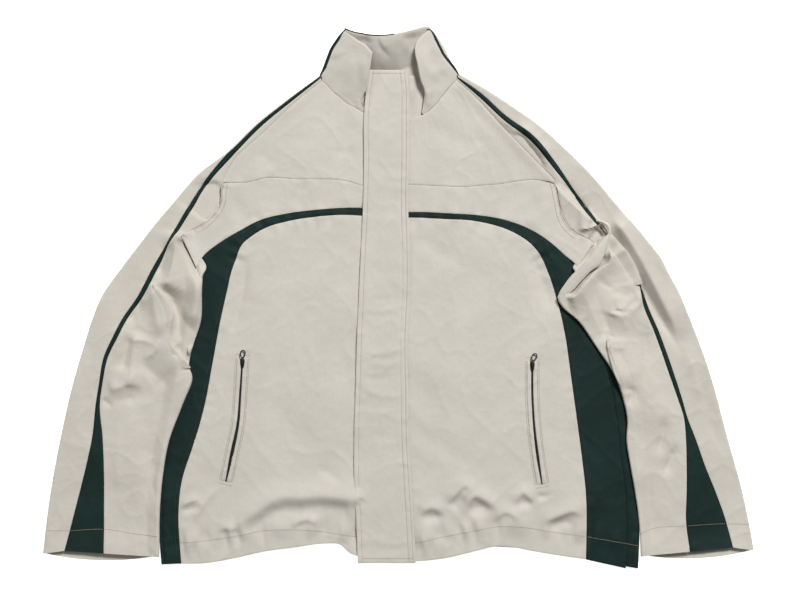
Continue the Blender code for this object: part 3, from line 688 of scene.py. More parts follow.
foldDepth = {"body": 1.1, "sleeve": 1.6}   # scales the tables of folds below
bodyFolds = [
    # left front
    Fold([(-266, -333), (-245, -330), (-221, -321), (-201, -306), (-182, -294), (-168, -289), (-141, -290),
          (-115, -287), (-86, -290), (-63, -292)], 15, 5.6, 1.7, 0.3, (0.3, 0.0)),
    Fold([(-225, -339), (-201, -324), (-176, -310), (-141, -307), (-110, -304), (-70, -308)],
         12, -2.6, 1.8, -0.2,
         (0.3, 0.05)),
    Fold([(-158, -333), (-132, -322), (-112, -333)], 6, 3.2, 1.6, 0.5),
    Fold([(-266, -338), (-249, -335), (-225, -338)], 6, 2.8, 1.6, 0.5),
    Fold([(-317, -304), (-302, -296), (-286, -292)], 5, 2.8, 1.6, 0.5),
    Fold([(-315, -312), (-300, -306), (-284, -302)], 5, -2.4),
    Fold([(-302, -329), (-290, -308), (-276, -290), (-257, -272)], 6, 2.2, 1.6),
    Fold([(-119, -243), (-98, -258), (-80, -271)], 9, -2.2, 1.6, 0.3),
    Fold([(-206, 72), (-219, 52), (-226, 7), (-240, -48), (-245, -72)], 7, -2.6, 1.7, -0.2),
    Fold([(-198, 80), (-206, 40), (-214, -10)], 9, 1.4),
    Fold([(-60, -120), (-110, -160), (-140, -225)], 26, 1.5),
    Fold([(-62, -20), (-75, -90), (-70, -160)], 12, -1.2),
    Fold([(-190, -130), (-150, -190), (-95, -215)], 18, -1.1),
    # right front: tent-shaped folds above the hem, steep on their lower side
    Fold([(70, -301), (84, -284), (95, -272), (110, -286)], 8, 4.0, 1.7, 0.5),
    Fold([(76, -309), (88, -295), (99, -287)], 9, -3.4),
    Fold([(95, -317), (111, -287), (127, -295), (150, -312)], 9, 5.0, 1.7, 0.5),
    Fold([(104, -319), (116, -305), (136, -315)], 10, -4.0),
    Fold([(28, -316), (48, -305), (68, -316)], 8, 3.6, 1.8, 0.5),
    Fold([(34, -326), (50, -318), (66, -325)], 8, -3.4),
    Fold([(168, -303), (179, -283), (199, -300)], 7, 3.8, 1.7, 0.5),
    Fold([(175, -309), (182, -297), (195, -307)], 6, -2.8),
    Fold([(132, -329), (156, -311), (180, -328)], 7, 3.2, 1.6, 0.5),
    Fold([(203, -329), (233, -316), (255, -310), (270, -323)], 8, 4.0, 1.7, 0.5),
    Fold([(210, -337), (238, -327), (260, -324)], 7, -3.2),
    Fold([(198, -283), (209, -289), (221, -283)], 4, -2.2),
    Fold([(18, -185), (70, -222), (128, -256)], 15, -1.8, 2.0, 0.3),
    Fold([(23, 96), (50, 72), (80, 48)], 13, -1.6),
    Fold([(60, 100), (110, 70), (150, 30)], 22, 1.2),
    Fold([(192, 68), (203, 40), (214, 10), (224, -28)], 13, -4.6, 1.6, 0.2),
    Fold([(20, -60), (60, -110), (120, -150)], 24, 1.2),
    # yokes and chest
    Fold([(-95, 285), (-120, 240), (-150, 205)], 16, -1.3),
    Fold([(-60, 262), (-78, 225), (-76, 190)], 12, -1.6),
    Fold([(-205, 215), (-180, 185)], 10, -1.2),
    Fold([(40, 262), (70, 235), (118, 215)], 15, -1.4),
    Fold([(105, 262), (140, 225), (165, 190)], 12, 1.4),
    Fold([(-240, 155), (-225, 120), (-200, 118)], 10, -1.4),
    Fold([(-130, 165), (-150, 145), (-152, 126)], 7, -1.0),
    Fold([(180, 165), (196, 135), (190, 108)], 12, -1.5),
    Fold([(216, 140), (204, 118), (186, 104)], 8, 1.2),
]


# ripples beside the seams: reach from the seam, height, size along it, seed
seamRipples = {
    "neck": (6, 0.4, 7.0, 11),
    "yoke": (9, 1.1, 8.0, 12),
    "greenOuter": (10, 1.3, 8.0, 13),
    "greenFront": (12, 2.0, 8.0, 14),
    "hemStitch": (17, 3.6, 9.0, 15),
    "armhole": (9, 1.4, 6.0, 16),
}


def seamRelief(side, x, y):
    # short uneven ripples square to each seam; the green panel's front seam is calmer down the side
    total = puckered(x, y, seamLines["neck"][side], *seamRipples["neck"])
    total += puckered(x, y, seamLines["yoke"][side], *seamRipples["yoke"])
    total += puckered(x, y, greenRows[side][::6, :2], *seamRipples["greenOuter"])
    total += (puckered(x, y, greenRows[side][::6, 2:4], *seamRipples["greenFront"])
              * (0.3 + 0.7 * smooth((np.asarray(y) - 20) / 50.0)))
    total += puckered(x, y, seamLines["hemStitch"][side], *seamRipples["hemStitch"])
    total += puckered(x, y, sleeveEdge(side, yokeEnd[side], underarm[side]), *seamRipples["armhole"])
    return total


def frontTop(x, y):
    # top of the body's front layer
    side = np.where(np.asarray(x) < centre["x"], 0, 1)
    relief = np.where(side == 0, seamRelief("left", x, y), seamRelief("right", x, y))
    return (cloth["lift"] + cloth["wall"] + raised(x, y, mounds["body"])
            + foldDepth["body"] * folded(x, y, bodyFolds) + relief + crumple(x, y, 40, 36.0, 0.7))


def insideBody(side, x, y):
    # how far a point lies inside the body's side edge, along X
    rows = greenRows[side][tipRow * rowParts:][::-1]
    edge = np.interp(y, rows[:, 1], rows[:, 0])
    return (x - edge) * inwardX[side]


def climb(side, x, y, run=14.0, lead=3.0):
    # 0 where a sleeve lies on the floor, 1 where it lies over the body's side
    underarmY = sleeveCut[side][underarm[side]][1]
    drop = underarmY - greenCut[side][tipRow][1]
    over = np.clip((insideBody(side, x, y) + lead + run) / run, 0.0, 1.0)
    return over * np.clip((underarmY - y) / drop, 0.0, 1.0)


def bodyUnder(x, y):
    # underside of whatever lies on the body's front: its form without the finest relief
    return cloth["lift"] + cloth["wall"] + raised(x, y, mounds["body"]) + cloth["layGap"]


def sleeveUnder(side, x, y):
    return climb(side, x, y) * bodyUnder(x, y)


# broad rises and their hollows first, then the finer folds that cross them
sleeveFolds = {
    "left": [
        Fold([(-359, 17), (-344, 3), (-334, -11), (-329, -24), (-330, -37), (-333, -51), (-332, -66),
              (-324, -79),
              (-312, -92), (-304, -104)], 16, 5.5, 1.35, -0.8, (0.08, 0.2)),
        Fold([(-264, 172), (-269, 155), (-274, 139), (-280, 124), (-287, 113)],
             13, -8.0, 1.1, -0.3, (0.3, 0.1)),
        Fold([(-312, 109), (-329, 83), (-348, 51), (-360, 27)], 7, 3.5, 1.15),
        Fold([(-317, 97), (-320, 80), (-324, 60), (-328, 40), (-334, 22), (-341, 6)],
             16, 8.5, 1.05, 0.3, (0.1, 0.2)),
        Fold([(-330, 84), (-338, 64), (-344, 44), (-349, 26)], 10, -4.0, 1.3, 0.0, (0.3, 0.3)),
        Fold([(-315, 85), (-308, 74), (-301, 62), (-292, 38), (-283, 16)], 4, -6.0, 1.3, 0.0, (0.1, 0.3)),
        Fold([(-346, 20), (-333, 4), (-323, -20), (-315, -45), (-308, -76)],
             13, -8.0, 1.15, 0.5, (0.4, 0.1)),
        Fold([(-286, 48), (-288, 24), (-290, 0), (-294, -26), (-300, -52)], 13, 6.0, 1.5, -0.4, (0.4, 0.3)),
        Fold([(-314, -46), (-311, -60), (-309, -72)], 3.5, 2.6, 1.0),
        Fold([(-322, -66), (-313, -80), (-304, -88), (-297, -80)], 8, -8.0, 1.3),
        Fold([(-360, 25), (-356, 5), (-353, -15), (-348, -39), (-345, -59)],
             14, 3.6, 1.05, 0.35, (0.1, 0.3)),
        Fold([(-390, -49), (-395, -72), (-399, -92), (-402, -109)], 8, -3.6, 1.2, 0.3, (0.3, 0.2)),
        Fold([(-379, -46), (-383, -70), (-386, -95), (-387, -116), (-394, -132)],
             13, 4.2, 1.1, 0.3, (0.2, 0.2)),
        Fold([(-398, -38), (-404, -62), (-409, -92)], 5, 1.8, 1.05),
        Fold([(-422, -134), (-404, -130), (-388, -125), (-368, -132)], 12, 3.4, 1.15, 0.3, (0.2, 0.4)),
        Fold([(-418, -152), (-404, -149), (-388, -146), (-370, -152)], 10, -1.3, 1.4),
        Fold([(-368, 0), (-381, -22), (-396, -39)], 8, -3.0, 1.25),
        Fold([(-383, -87), (-361, -105), (-338, -125), (-326, -134)], 8, -1.4, 1.4),
        Fold([(-370, -92), (-363, -87), (-348, -69), (-345, -58)], 5, 2.2, 1.0),
        Fold([(-392, -64), (-372, -61), (-352, -68)], 4, 1.6, 1.0),
        Fold([(-431, -145), (-414, -160)], 4, -1.8, 1.25),
        Fold([(-318, -180), (-330, -215), (-336, -262)], 14, 1.2, 1.5),
        Fold([(-362, -150), (-366, -200), (-362, -260)], 16, -1.8, 1.5),
        Fold([(-344, -225), (-356, -262), (-350, -300)], 8, -2.0, 1.4),
        Fold([(-400, -180), (-408, -230), (-404, -290)], 12, 1.6, 1.25),
    ],
    "right": [
        Fold([(305, -56), (305, -67), (307, -80), (311, -94), (316, -110), (321, -123), (327, -134)],
             14, 3.0,
             1.5, 0.8, (0.1, 0.3)),
        Fold([(292, 104), (304, 92), (315, 78), (328, 62), (339, 46), (347, 28), (353, 10)],
             12, 4.5, 1.35, -0.8,
             (0.1, 0.15)),
        Fold([(168, 243), (180, 228), (193, 210), (203, 196), (216, 184)], 6, -4.5, 1.2, 0.4, (0.25, 0.3)),
        Fold([(172, 254), (190, 236), (207, 216), (226, 196)], 9, 4.2, 1.2, 0.2, (0.25, 0.3)),
        Fold([(222, 165), (232, 156), (249, 139), (267, 122), (284, 109)], 9, 3.6, 1.35, -0.75, (0.1, 0.1)),
        Fold([(233, 170), (246, 157), (263, 140), (281, 122)], 5, -3.0, 1.2, 0.4, (0.3, 0.2)),
        Fold([(280, 78), (288, 87), (295, 98)], 6, -12.0, 1.75, 0.0, (0.2, 0.2)),
        Fold([(258, 98), (275, 100), (286, 104), (294, 109)], 8, 4.5, 1.15, 0.6, (0.3, 0.1)),
        Fold([(306, 70), (307, 61), (306, 52), (295, 44), (283, 37), (275, 27), (267, 19), (253, 2),
              (242, -2)],
             10, 6.5, 1.25, 0.7, (0.1, 0.1)),
        Fold([(300, 62), (290, 54), (278, 44), (268, 33), (256, 18), (243, 6)],
             5, -8.0, 1.25, 0.0, (0.1, 0.1)),
        Fold([(299, 104), (308, 88), (320, 66), (334, 44), (351, 18), (373, -20), (396, -58), (412, -86)],
             9, -6.0,
             1.3, 0.3, (0.1, 0.3)),
        Fold([(308, 118), (322, 100), (338, 76), (354, 48), (373, 12), (393, -28), (410, -66)],
             17, 7.5, 1.15, 0.3,
             (0.12, 0.25)),
        Fold([(300, -22), (318, -26), (338, -21), (351, -10)], 13, 3.0, 1.2, -0.35, (0.2, 0.3)),
        Fold([(284, 34), (292, 23), (308, 13), (317, 2)], 5.2, -1.5, 1.25),
        Fold([(318, 8), (318, -6), (318, -19)], 5.2, 2.0, 1.2, 0.0, (0.4, 0.1)),
        Fold([(310, -22), (303, -40), (297, -56), (298, -68)], 10.4, -2.6, 1.35, -0.2, (0.15, 0.3)),
        Fold([(318, -21), (315, -36), (309, -52), (303, -66)], 6.5, 1.8, 1.2, 0.4, (0.05, 0.15)),
        Fold([(320, -19), (327, -13), (336, -2), (336, 5)], 6.5, 1.5, 1.2, 0.3, (0.05, 0.4)),
        Fold([(325, -22), (337, -12), (345, 2)], 6.5, -1.5, 1.3, 0.0, (0.1, 0.4)),
        Fold([(320, -23), (327, -37), (331, -50)], 5.2, 0.8, 1.2),
        Fold([(303, -66), (312, -72), (333, -73)], 7, 2.0, 1.2, 0.3, (0.05, 0.4)),
        Fold([(347, 28), (351, 7), (349, -10), (338, -16), (321, -20)], 7.8, 2.2, 1.25, -0.5, (0.3, 0.1)),
        Fold([(358, -30), (359, -67), (357, -104), (357, -141)], 6, -2.0, 1.05),
        Fold([(323, -132), (338, -135), (331, -159)], 7, -3.4, 1.25),
        Fold([(386, -168), (384, -196), (375, -233)], 8, -3.0, 1.25),
        Fold([(405, -210), (394, -237), (384, -263)], 7, -2.8, 1.25),
        Fold([(338, -92), (342, -140), (348, -200)], 12, 2.4, 1.25),
        Fold([(352, -250), (366, -310), (372, -370)], 12, -2.0, 1.25),
        Fold([(430, -90), (448, -160), (470, -240)], 16, -2.0, 1.25),
        Fold([(412, -60), (428, -110), (444, -160)], 12, 1.8, 1.25),
    ],
}


def sleeveTop(side, x, y):
    # top of the sleeve's front layer
    onBody = climb(side, x, y)
    own = (raised(x, y, mounds["sleeve"]) + foldDepth["sleeve"] * folded(x, y, sleeveFolds[side])
           + crumple(x, y, 70, 36.0, 0.75))
    base = sleeveUnder(side, x, y) + cloth["lift"] + cloth["wall"]
    form = base + (1.0 - onBody) * raised(x, y, mounds["body"]) + own
    return np.maximum(form, sleeveUnder(side, x, y) + cloth["wall"])


def rolled(rim, depth=0.4, width=1.2):
    # a cloth edge turned under at a seam: it drops by depth * exp(-(distance / width)^2)
    return -depth * np.exp(-(rim / width) ** 2)


def pathLength(points):
    return alongLength(np.asarray(points, dtype=float)[:, :2])[-1]


def frontPanel(name, node, bottom, top, left, right, lift=None):
    # a panel of the front layer between four edge paths, drawn in by half a seam gap
    step = cloth["step"]
    u = spread(max(pathLength(bottom), pathLength(top)), step)
    v = spread(max(pathLength(left), pathLength(right)), step)
    plan = coonsGrid(resample(bottom, u), resample(top, u), resample(left, v), resample(right, v), u, v)
    plan = drawIn(plan, cloth["seamGap"] / 2)
    x, y = plan[..., 0], plan[..., 1]
    rim = rimDistance(plan)
    z = frontTop(x, y) + rolled(rim)
    if lift is not None:
        z = z + lift(x, y)
    return layCloth(name, node, atHeight(plan, z), shells["stone"])


def smoothPath(points, count=160):
    return curveThrough(points, evenly(count))


def centreEdge(side, low, high):
    x = centre["x"] - inwardX[side] * centre["zipHalf"]
    return np.array([(x, low), (x, high)], dtype=float)


# where the body's cloth folds over the sleeve's, how far the upper stands up and the lower sinks
overlap = {
    "yoke": {"left": 1.6, "right": 3.2},     # the yoke's shoulder edge, upwards
    "strip": {"left": 1.4, "right": 1.0},    # the sleeve's strip beside it, downwards
    "pocket": {"left": 0.0, "right": 6.0},   # a further hollow in the strip
    "pocketRow": 3.0, "pocketRows": 1.1,     # the row of the cut where it is deepest, and its reach
    "chest": 5.6,                            # the chest's corner below the underarm, upwards
    "corner": 6.0,                           # the sleeve under that corner, downwards
    # how far from its edge each of them is felt
    "yokeReach": 11.0, "stripReach": 9.0, "chestReach": 14.0, "cornerReach": 12.0,
}


def buildYoke(side):
    shoulder = sleeveEdge(side, 0, yokeEnd[side])[::-1]
    seam = smoothPath(seamLines["yoke"][side])
    neck = smoothPath(seamLines["neck"][side])

    def overhang(x, y):
        # the yoke's shoulder edge stands up where the cloth folds over the sleeve's strip
        away = np.abs(beside(x, y, shoulder[::8])[0])
        return overlap["yoke"][side] * np.exp(-(away / overlap["yokeReach"]) ** 2)

    frontPanel(f"yoke_{side}_cloth", f"yoke_{side}", seam, neck, shoulder,
               centreEdge(side, seam[-1, 1], neck[-1, 1]), overhang)


def buildChest(side):
    # columns run straight up the panel, from the band (or the free corner) to the yoke seam (or the
    # armhole), and end short of the point where the two meet
    tip = greenRows[side][tipRow * rowParts, :2]
    armhole = sleeveEdge(side, yokeEnd[side], underarm[side])
    free = np.array([tip, armhole[-1]])
    low = np.vstack([smoothPath(bandEdge(side), 200), free[1:]])
    high = np.vstack([smoothPath(seamLines["yoke"][side])[::-1], armhole[2:]])
    inward = inwardX[side]
    first, last, corner = centre["x"] - inward * centre["zipHalf"], armhole[-1, 0], armhole[0, 0]
    x = np.concatenate([first + (corner - first) * spread(abs(corner - first), cloth["step"]),
                        corner + (last - corner) * spread(abs(corner - last), 1.6)[1:-1]])
    x[-1] = last + inward * 1.2
    lowY = np.interp(inward * -x, inward * -low[:, 0], low[:, 1])
    highY = np.interp(inward * -x, inward * -high[:, 0], high[:, 1])
    v = spread(45.0, cloth["step"])[:, None]
    gap = cloth["seamGap"] / 2
    y = (lowY + gap) * (1 - v) + (highY - gap) * v
    x = np.repeat(x[None, :], len(v), axis=0)
    rim = np.min([np.abs(beside(x, y, path)[0]) for path in (low[::6], high[::6], free)], axis=0)
    away = np.abs(beside(x, y, free)[0])
    z = frontTop(x, y) + rolled(rim) + overlap["chest"] * np.exp(-(away / overlap["chestReach"]) ** 2)
    layCloth(f"chest_{side}_cloth", f"chest_{side}", atHeight(np.stack([x, y], axis=-1), z),
             shells["stone"])


def buildFront(side):
    top = greenRows[side][:tipRow * rowParts + 1, 2:4][::-1]
    edge = greenRows[side][tipRow * rowParts:, 2:4][::-1]
    hem = smoothPath(seamLines["hem"][side])
    frontPanel(f"front_{side}_cloth", f"front_{side}", hem, top, edge,
               centreEdge(side, hem[-1, 1], top[-1, 1]))


def sideSeamX(side):
    # where the front side panel ends on top, for each dense row
    inward = inwardX[side]
    row = np.arange(len(greenRows[side])) / rowParts
    share = np.clip((row - tipRow) / 4.0, 0.0, 1.0)
    least = (cloth["lift"] + cloth["wall"]) / 2 + 1.0
    wrap = np.where(row <= tipRow, 0.0, np.maximum(sideWrap[side] * share, least * smooth(share * 4)))
    return greenRows[side][:, 0] + inward * wrap


def buildSidePanel(side):
    rows = greenRows[side]
    outerEdge = np.column_stack([sideSeamX(side), rows[:, 1]])
    both = np.column_stack([outerEdge, rows[:, 2:4]])
    v = spread(pathLength(outerEdge), cloth["step"])
    both = resample(both, v)
    u = spread(60.0, cloth["step"])[None, :, None]
    plan = between(both[:, :2], both[:, 2:4], u)
    plan = drawIn(plan, cloth["seamGap"] / 2)
    x, y = plan[..., 0], plan[..., 1]
    z = frontTop(x, y) + rolled(rimDistance(plan), 0.5, 1.4) - cloth["greenDrop"]
    layCloth(f"side_panel_{side}_cloth", f"side_panel_{side}", atHeight(plan, z),
             shells["green"], grain=4.0)


def halfTurn(turnPoint, outward, reach, lowZ, highZ, count):
    # points of a half ellipse in the upright plane of each row, from the low layer round to the high one
    angle = np.linspace(-math.pi / 2, math.pi / 2, count + 2)[1:-1][None, :, None]
    plan = turnPoint[:, None] + outward[:, None] * reach[:, None, None] * np.cos(angle)
    middle = (lowZ + highZ)[:, None, None] / 2
    half = (highZ - lowZ)[:, None, None] / 2
    return np.concatenate([plan, middle + half * np.sin(angle)], axis=2)


def buildSideBack(side):
    inward = inwardX[side]
    rows = greenRows[side]
    first = (tipRow + 1) * rowParts
    table = np.column_stack([rows, sideSeamX(side)])[first:]
    table = resample(table, spread(pathLength(table), 4.0))
    edgeX, edgeY, backW, seamX = table[:, 0], table[:, 1], table[:, 4], table[:, 5]
    reach = np.full(len(table), (cloth["lift"] + cloth["wall"]) / 2)
    turnX = edgeX + inward * reach
    under = np.linspace(0.0, 1.0, 4)[None, :]
    deep = edgeX + inward * (np.maximum(backW, reach + 2.0) - 0.2)
    underX = deep[:, None] * (1 - under) + turnX[:, None] * under
    floorRun = np.stack([underX, np.repeat(edgeY[:, None], 4, axis=1), np.zeros_like(underX)], axis=-1)
    over = np.linspace(0.0, 1.0, 8)[None, :]
    endX = seamX - inward * cloth["seamGap"] / 2
    topX = turnX[:, None] * (1 - over) + endX[:, None] * over
    topY = np.repeat(edgeY[:, None], 8, axis=1)
    topZ = frontTop(topX, topY) - cloth["greenDrop"]
    rim = np.abs(topX - endX[:, None])
    topRun = np.stack([topX, topY, topZ + rolled(rim, 0.7)], axis=-1)
    turnPoint = np.column_stack([turnX, edgeY])
    outwardWay = np.tile([-inward, 0.0], (len(table), 1))
    turn = halfTurn(turnPoint, outwardWay, reach, np.zeros(len(table)), topZ[:, 0], 7)
    outer = np.concatenate([floorRun, turn, topRun], axis=1)
    # towards the hem each row slopes as the hem does
    slope = hemSlope[side] * smooth((-340.0 - edgeY) / 40.0)[:, None]
    outer[..., 1] += slope * np.abs(outer[..., 0] - edgeX[:, None])
    layCloth(f"side_back_{side}_cloth", f"side_back_{side}", outer, shells["green"],
             grain=4.0, inward="last")


def buildBack():
    sidesOf = {}
    for side in sides:
        inward = inwardX[side]
        rows = greenRows[side][tipRow * rowParts:][::-1]
        low = np.column_stack([rows[:, 0] + inward * np.maximum(rows[:, 4], 5.0), rows[:, 1]])
        sidesOf[side] = np.vstack([low, sleeveEdge(side, 0, underarm[side])[::-1]])
    hem = smoothPath(seamLines["backHem"])
    neck = smoothPath(seamLines["backNeck"])
    sidesOf["left"][0], sidesOf["right"][0] = hem[0], hem[-1]
    u, v = spread(620, 8.0), spread(700, 8.0)
    plan = coonsGrid(resample(hem, u), resample(neck, u), resample(sidesOf["left"], v),
                     resample(sidesOf["right"], v), u, v)
    plan = drawIn(plan, cloth["seamGap"] / 2)
    x, y = plan[..., 0], plan[..., 1]
    relief = 0.35 * (1.0 + noise(x, y, 60.0, 90)) + np.maximum(crumple(x, y, 91), 0.0)
    layCloth("back_cloth", "back", atHeight(plan, cloth["shell"] + relief), shells["stone"])


buildBack()
for side in sides:
    buildYoke(side)
    buildChest(side)
    buildFront(side)
    buildSidePanel(side)
    buildSideBack(side)
print("the body is laid")


cuff = {"level": -330.0, "lip": 8.0, "open": 4.0, "under": 9.0, "tuck": 10.0, "step": 2.5}


def sleeveTable(side):
    # rows along the sleeve: inner edge, stripe's inner line, stripe's outer line, outer fold, row number
    rows = sleeveRows[side]
    inner, stripe, width, outer = rows[:, 0:2], rows[:, 2:4], rows[:, 4:5], rows[:, 5:7]
    number = np.arange(len(rows))[:, None] / rowParts
    table = np.column_stack([stripe, inner, stripe + unit(inner - stripe) * width, outer, number])
    return resample(table, spread(pathLength(table), cuff["step"]))


def cuffGape(side, y, share):
    # the front of a cuff stands up from the back, most at its middle
    return cuff["open"] * smooth((cuff["level"] - y) / 45.0) * np.sin(np.pi * np.clip(share, 0, 1)) ** 0.7


def buildSleeve(side):
    table = sleeveTable(side)
    stripeOut, inner, stripeIn, outer = (table[:, k:k + 2] for k in (0, 2, 4, 6))
    number = table[:, 8]
    gap = cloth["seamGap"] / 2
    # 0 where the inner edge is the armhole seam, 1 where it is a fold
    isFold = smooth((number - underarm[side]) / 0.8)
    radius = (cloth["lift"] + cloth["wall"]) / 2

    # front: from the stripe across to the inner edge, round it and a little way under; below the
    # underarm it reaches in under the chest's free corner
    tuck = smooth((number - underarm[side]) / 0.35) * smooth((underarm[side] + 1.35 - number) / 0.5)
    inner = inner + unit(inner - stripeIn) * (cuff["tuck"] * tuck)[:, None]
    way = inner - stripeIn
    length = np.linalg.norm(way, axis=1)
    way = way / length[:, None]
    reach = 0.4 + (radius - 0.4) * isFold
    turnPoint = inner - way * (reach + gap)[:, None]
    start = stripeIn + way * gap
    u = spread(110.0, cuff["step"])[None, :, None]
    plan = between(start, turnPoint, u)
    x, y = plan[..., 0], plan[..., 1]
    share = np.broadcast_to(0.35 + 0.65 * u[..., 0], x.shape)
    fromStripe = u[..., 0] * length[:, None]
    fromArmhole = (1 - u[..., 0]) * length[:, None]
    seamDrop = rolled(fromStripe) + rolled(fromArmhole, 0.8, 2.0) * (1 - isFold)[:, None]
    pocket = np.exp(-((number - overlap["pocketRow"]) / overlap["pocketRows"]) ** 2)
    sunk = (overlap["strip"][side] + overlap["pocket"][side] * pocket)[:, None]
    sunk = -sunk * np.exp(-(fromArmhole / overlap["stripReach"]) ** 2)
    sunk = sunk * (1 - smooth((number - yokeEnd[side]) / 1.5))[:, None]
    corner = np.exp(-(fromArmhole / overlap["cornerReach"]) ** 2)
    sunk = sunk - overlap["corner"] * tuck[:, None] * corner
    z = np.maximum(sleeveTop(side, x, y) + sunk, sleeveUnder(side, x, y) + cloth["wall"]) + seamDrop
    z = z + cuffGape(side, y, share)
    topRun = atHeight(plan, z)
    lowZ = sleeveUnder(side, turnPoint[:, 0], turnPoint[:, 1])
    highZ = z[:, -1]
    lowZ = lowZ * isFold + (highZ - 1.0) * (1 - isFold)
    turn = halfTurn(turnPoint, way, reach, lowZ, highZ, 7)[:, ::-1]
    under = np.linspace(0.0, 1.0, 4)[None, :, None]
    deep = 0.3 + (cuff["under"] - 0.3) * isFold
    underPlan = turnPoint[:, None] - way[:, None] * deep[:, None, None] * under
    underFloor = sleeveUnder(side, underPlan[..., 0], underPlan[..., 1])
    underZ = underFloor * isFold[:, None] + lowZ[:, None] * (1 - isFold[:, None])
    underRun = atHeight(underPlan, underZ)
    grain = -62.0 * inwardX[side]   # the weave runs along the sleeve
    front = np.concatenate([topRun, turn, underRun], axis=1)
    layCloth(f"sleeve_front_{side}_cloth", f"sleeve_front_{side}", front, shells["stoneSleevePaintedShade"],
             grain, inward="first")

    # stripe: a narrow green strip that widens into the cuff gusset
    u = spread(30.0, 3.0)[None, :, None]
    across = unit(stripeOut - stripeIn)
    plan = between(stripeIn + across * gap, stripeOut - across * gap, u)
    x, y = plan[..., 0], plan[..., 1]
    width = np.linalg.norm(stripeOut - stripeIn, axis=1)[:, None]
    rim = np.minimum(u[..., 0], 1 - u[..., 0]) * width
    z = sleeveTop(side, x, y) + rolled(rim, 0.8, 1.2) - 0.2 + cuffGape(side, y, 0.3)
    layCloth(f"sleeve_stripe_{side}_cloth", f"sleeve_stripe_{side}", atHeight(plan, z),
             shells["green"], grain=grain)

    # back: from under the inner edge along the floor, round the outer fold and over to the stripe
    way = outer - inner
    length = np.linalg.norm(way, axis=1)
    way = way / length[:, None]
    reach = np.minimum(radius, length * 0.2)
    turnPoint = outer - way * reach[:, None]
    start = inner + way * (0.4 + (cuff["under"] + 1.0) * isFold * np.clip(length / 60.0, 0, 1))[:, None]
    u = evenly(16)[None, :, None]
    plan = between(start, turnPoint, u)
    lip = cuff["lip"] * np.sin(np.pi * u[..., 0]) ** 0.8 * smooth((-352.0 - table[:, 3]) / 20.0)[:, None]
    plan[..., 1] -= lip
    z = sleeveUnder(side, plan[..., 0], plan[..., 1])
    floorRun = atHeight(plan, z)
    back = stripeOut - turnPoint
    u = spread(60.0, cloth["step"], (False, True))[None, :, None]
    plan = between(turnPoint, stripeOut - unit(back) * gap, u)
    x, y = plan[..., 0], plan[..., 1]
    fromSeam = (1 - u[..., 0]) * np.linalg.norm(back, axis=1)[:, None]
    topZ = sleeveTop(side, x, y) + rolled(fromSeam) + cuffGape(side, y, 0.3 * u[..., 0])
    turn = halfTurn(turnPoint, way, reach, z[:, -1], topZ[:, 0], 7)
    outerGrid = np.concatenate([floorRun, turn, atHeight(plan, topZ)], axis=1)
    layCloth(f"sleeve_back_{side}_cloth", f"sleeve_back_{side}", outerGrid, shells["stoneSleevePaintedShade"],
             grain=grain, inward="last")


# the sleeve's cloth doubled over: rows of where each fold starts (x, y) and where its turned rim is (x, y)
foldPieces = {
    # over the hollow beside the underarm
    "left": {
        "hollow": {"rise": 1.2, "radius": 1.5, "rows": [
            (-356, 15, -355, 19), (-348, -5, -340, 5), (-343, -20, -330, -9),
            (-340, -32, -325, -22), (-340, -44, -326, -35), (-341, -54, -329, -49),
            (-340, -67, -328, -64), (-333, -82, -320, -77), (-323, -95, -308, -90),
            (-314, -104, -300, -101)]},
    },
    # the sleeve's front hides the stripe for a while, and its lower part lies over the bulge
    "right": {
        "stripe": {"rise": 1.5, "radius": 1.6, "rows": [
            (288, 104, 296, 107), (296, 90, 308, 93), (305, 71, 319, 80),
            (317, 57, 332, 64), (327, 41, 342, 47), (336, 28, 349, 32),
            (341, 17, 352, 20)]},
        "bulge": {"rise": 1.2, "radius": 1.5, "rows": [
            (309, -62, 302, -60), (312, -69, 301, -67), (315, -80, 303, -80),
            (318, -93, 307, -95), (323, -109, 312, -111), (327, -121, 317, -122),
            (331, -132, 324, -133)]},
    },
}
tubeFold = {   # the rolled fold that runs from the top of the right armhole down to the side panel
    "crest": [15.0, 17.5, 19.5, 21.0, 22.0, 23.0, 24.0, 24.5, 24.5, 24.0, 23.0, 21.0, 19.0, 17.0, 15.0],
    "radius": 1.7,
    "rows": [(286, 110, 287, 113), (294, 107, 296, 111), (299, 103, 304, 107), (302, 98, 307, 98),
             (303, 93, 307, 90), (296, 86, 304, 80), (290, 78, 300, 69), (283, 69, 295, 57),
             (277, 60, 289, 46), (268, 51, 279, 39), (261, 43, 268, 28), (248, 30, 260, 19),
             (240, 19, 251, 9), (233, 8, 242, 2), (230, 0, 233, -2)],
}


def rolledRim(rim, way, topZ, radius, under):
    # a rim turned under: half an ellipse from the top down, then a short way back beneath
    bend = halfTurn(rim, way, radius, topZ - 2 * radius, topZ, 7)[:, ::-1]
    back = evenly(4)[None, 1:, None]
    plan = rim[:, None] - way[:, None] * under[:, None, None] * back
    flat = np.repeat((topZ - 2 * radius)[:, None, None], 3, axis=1)
    return np.concatenate([bend, np.concatenate([plan, flat], axis=2)], axis=1)


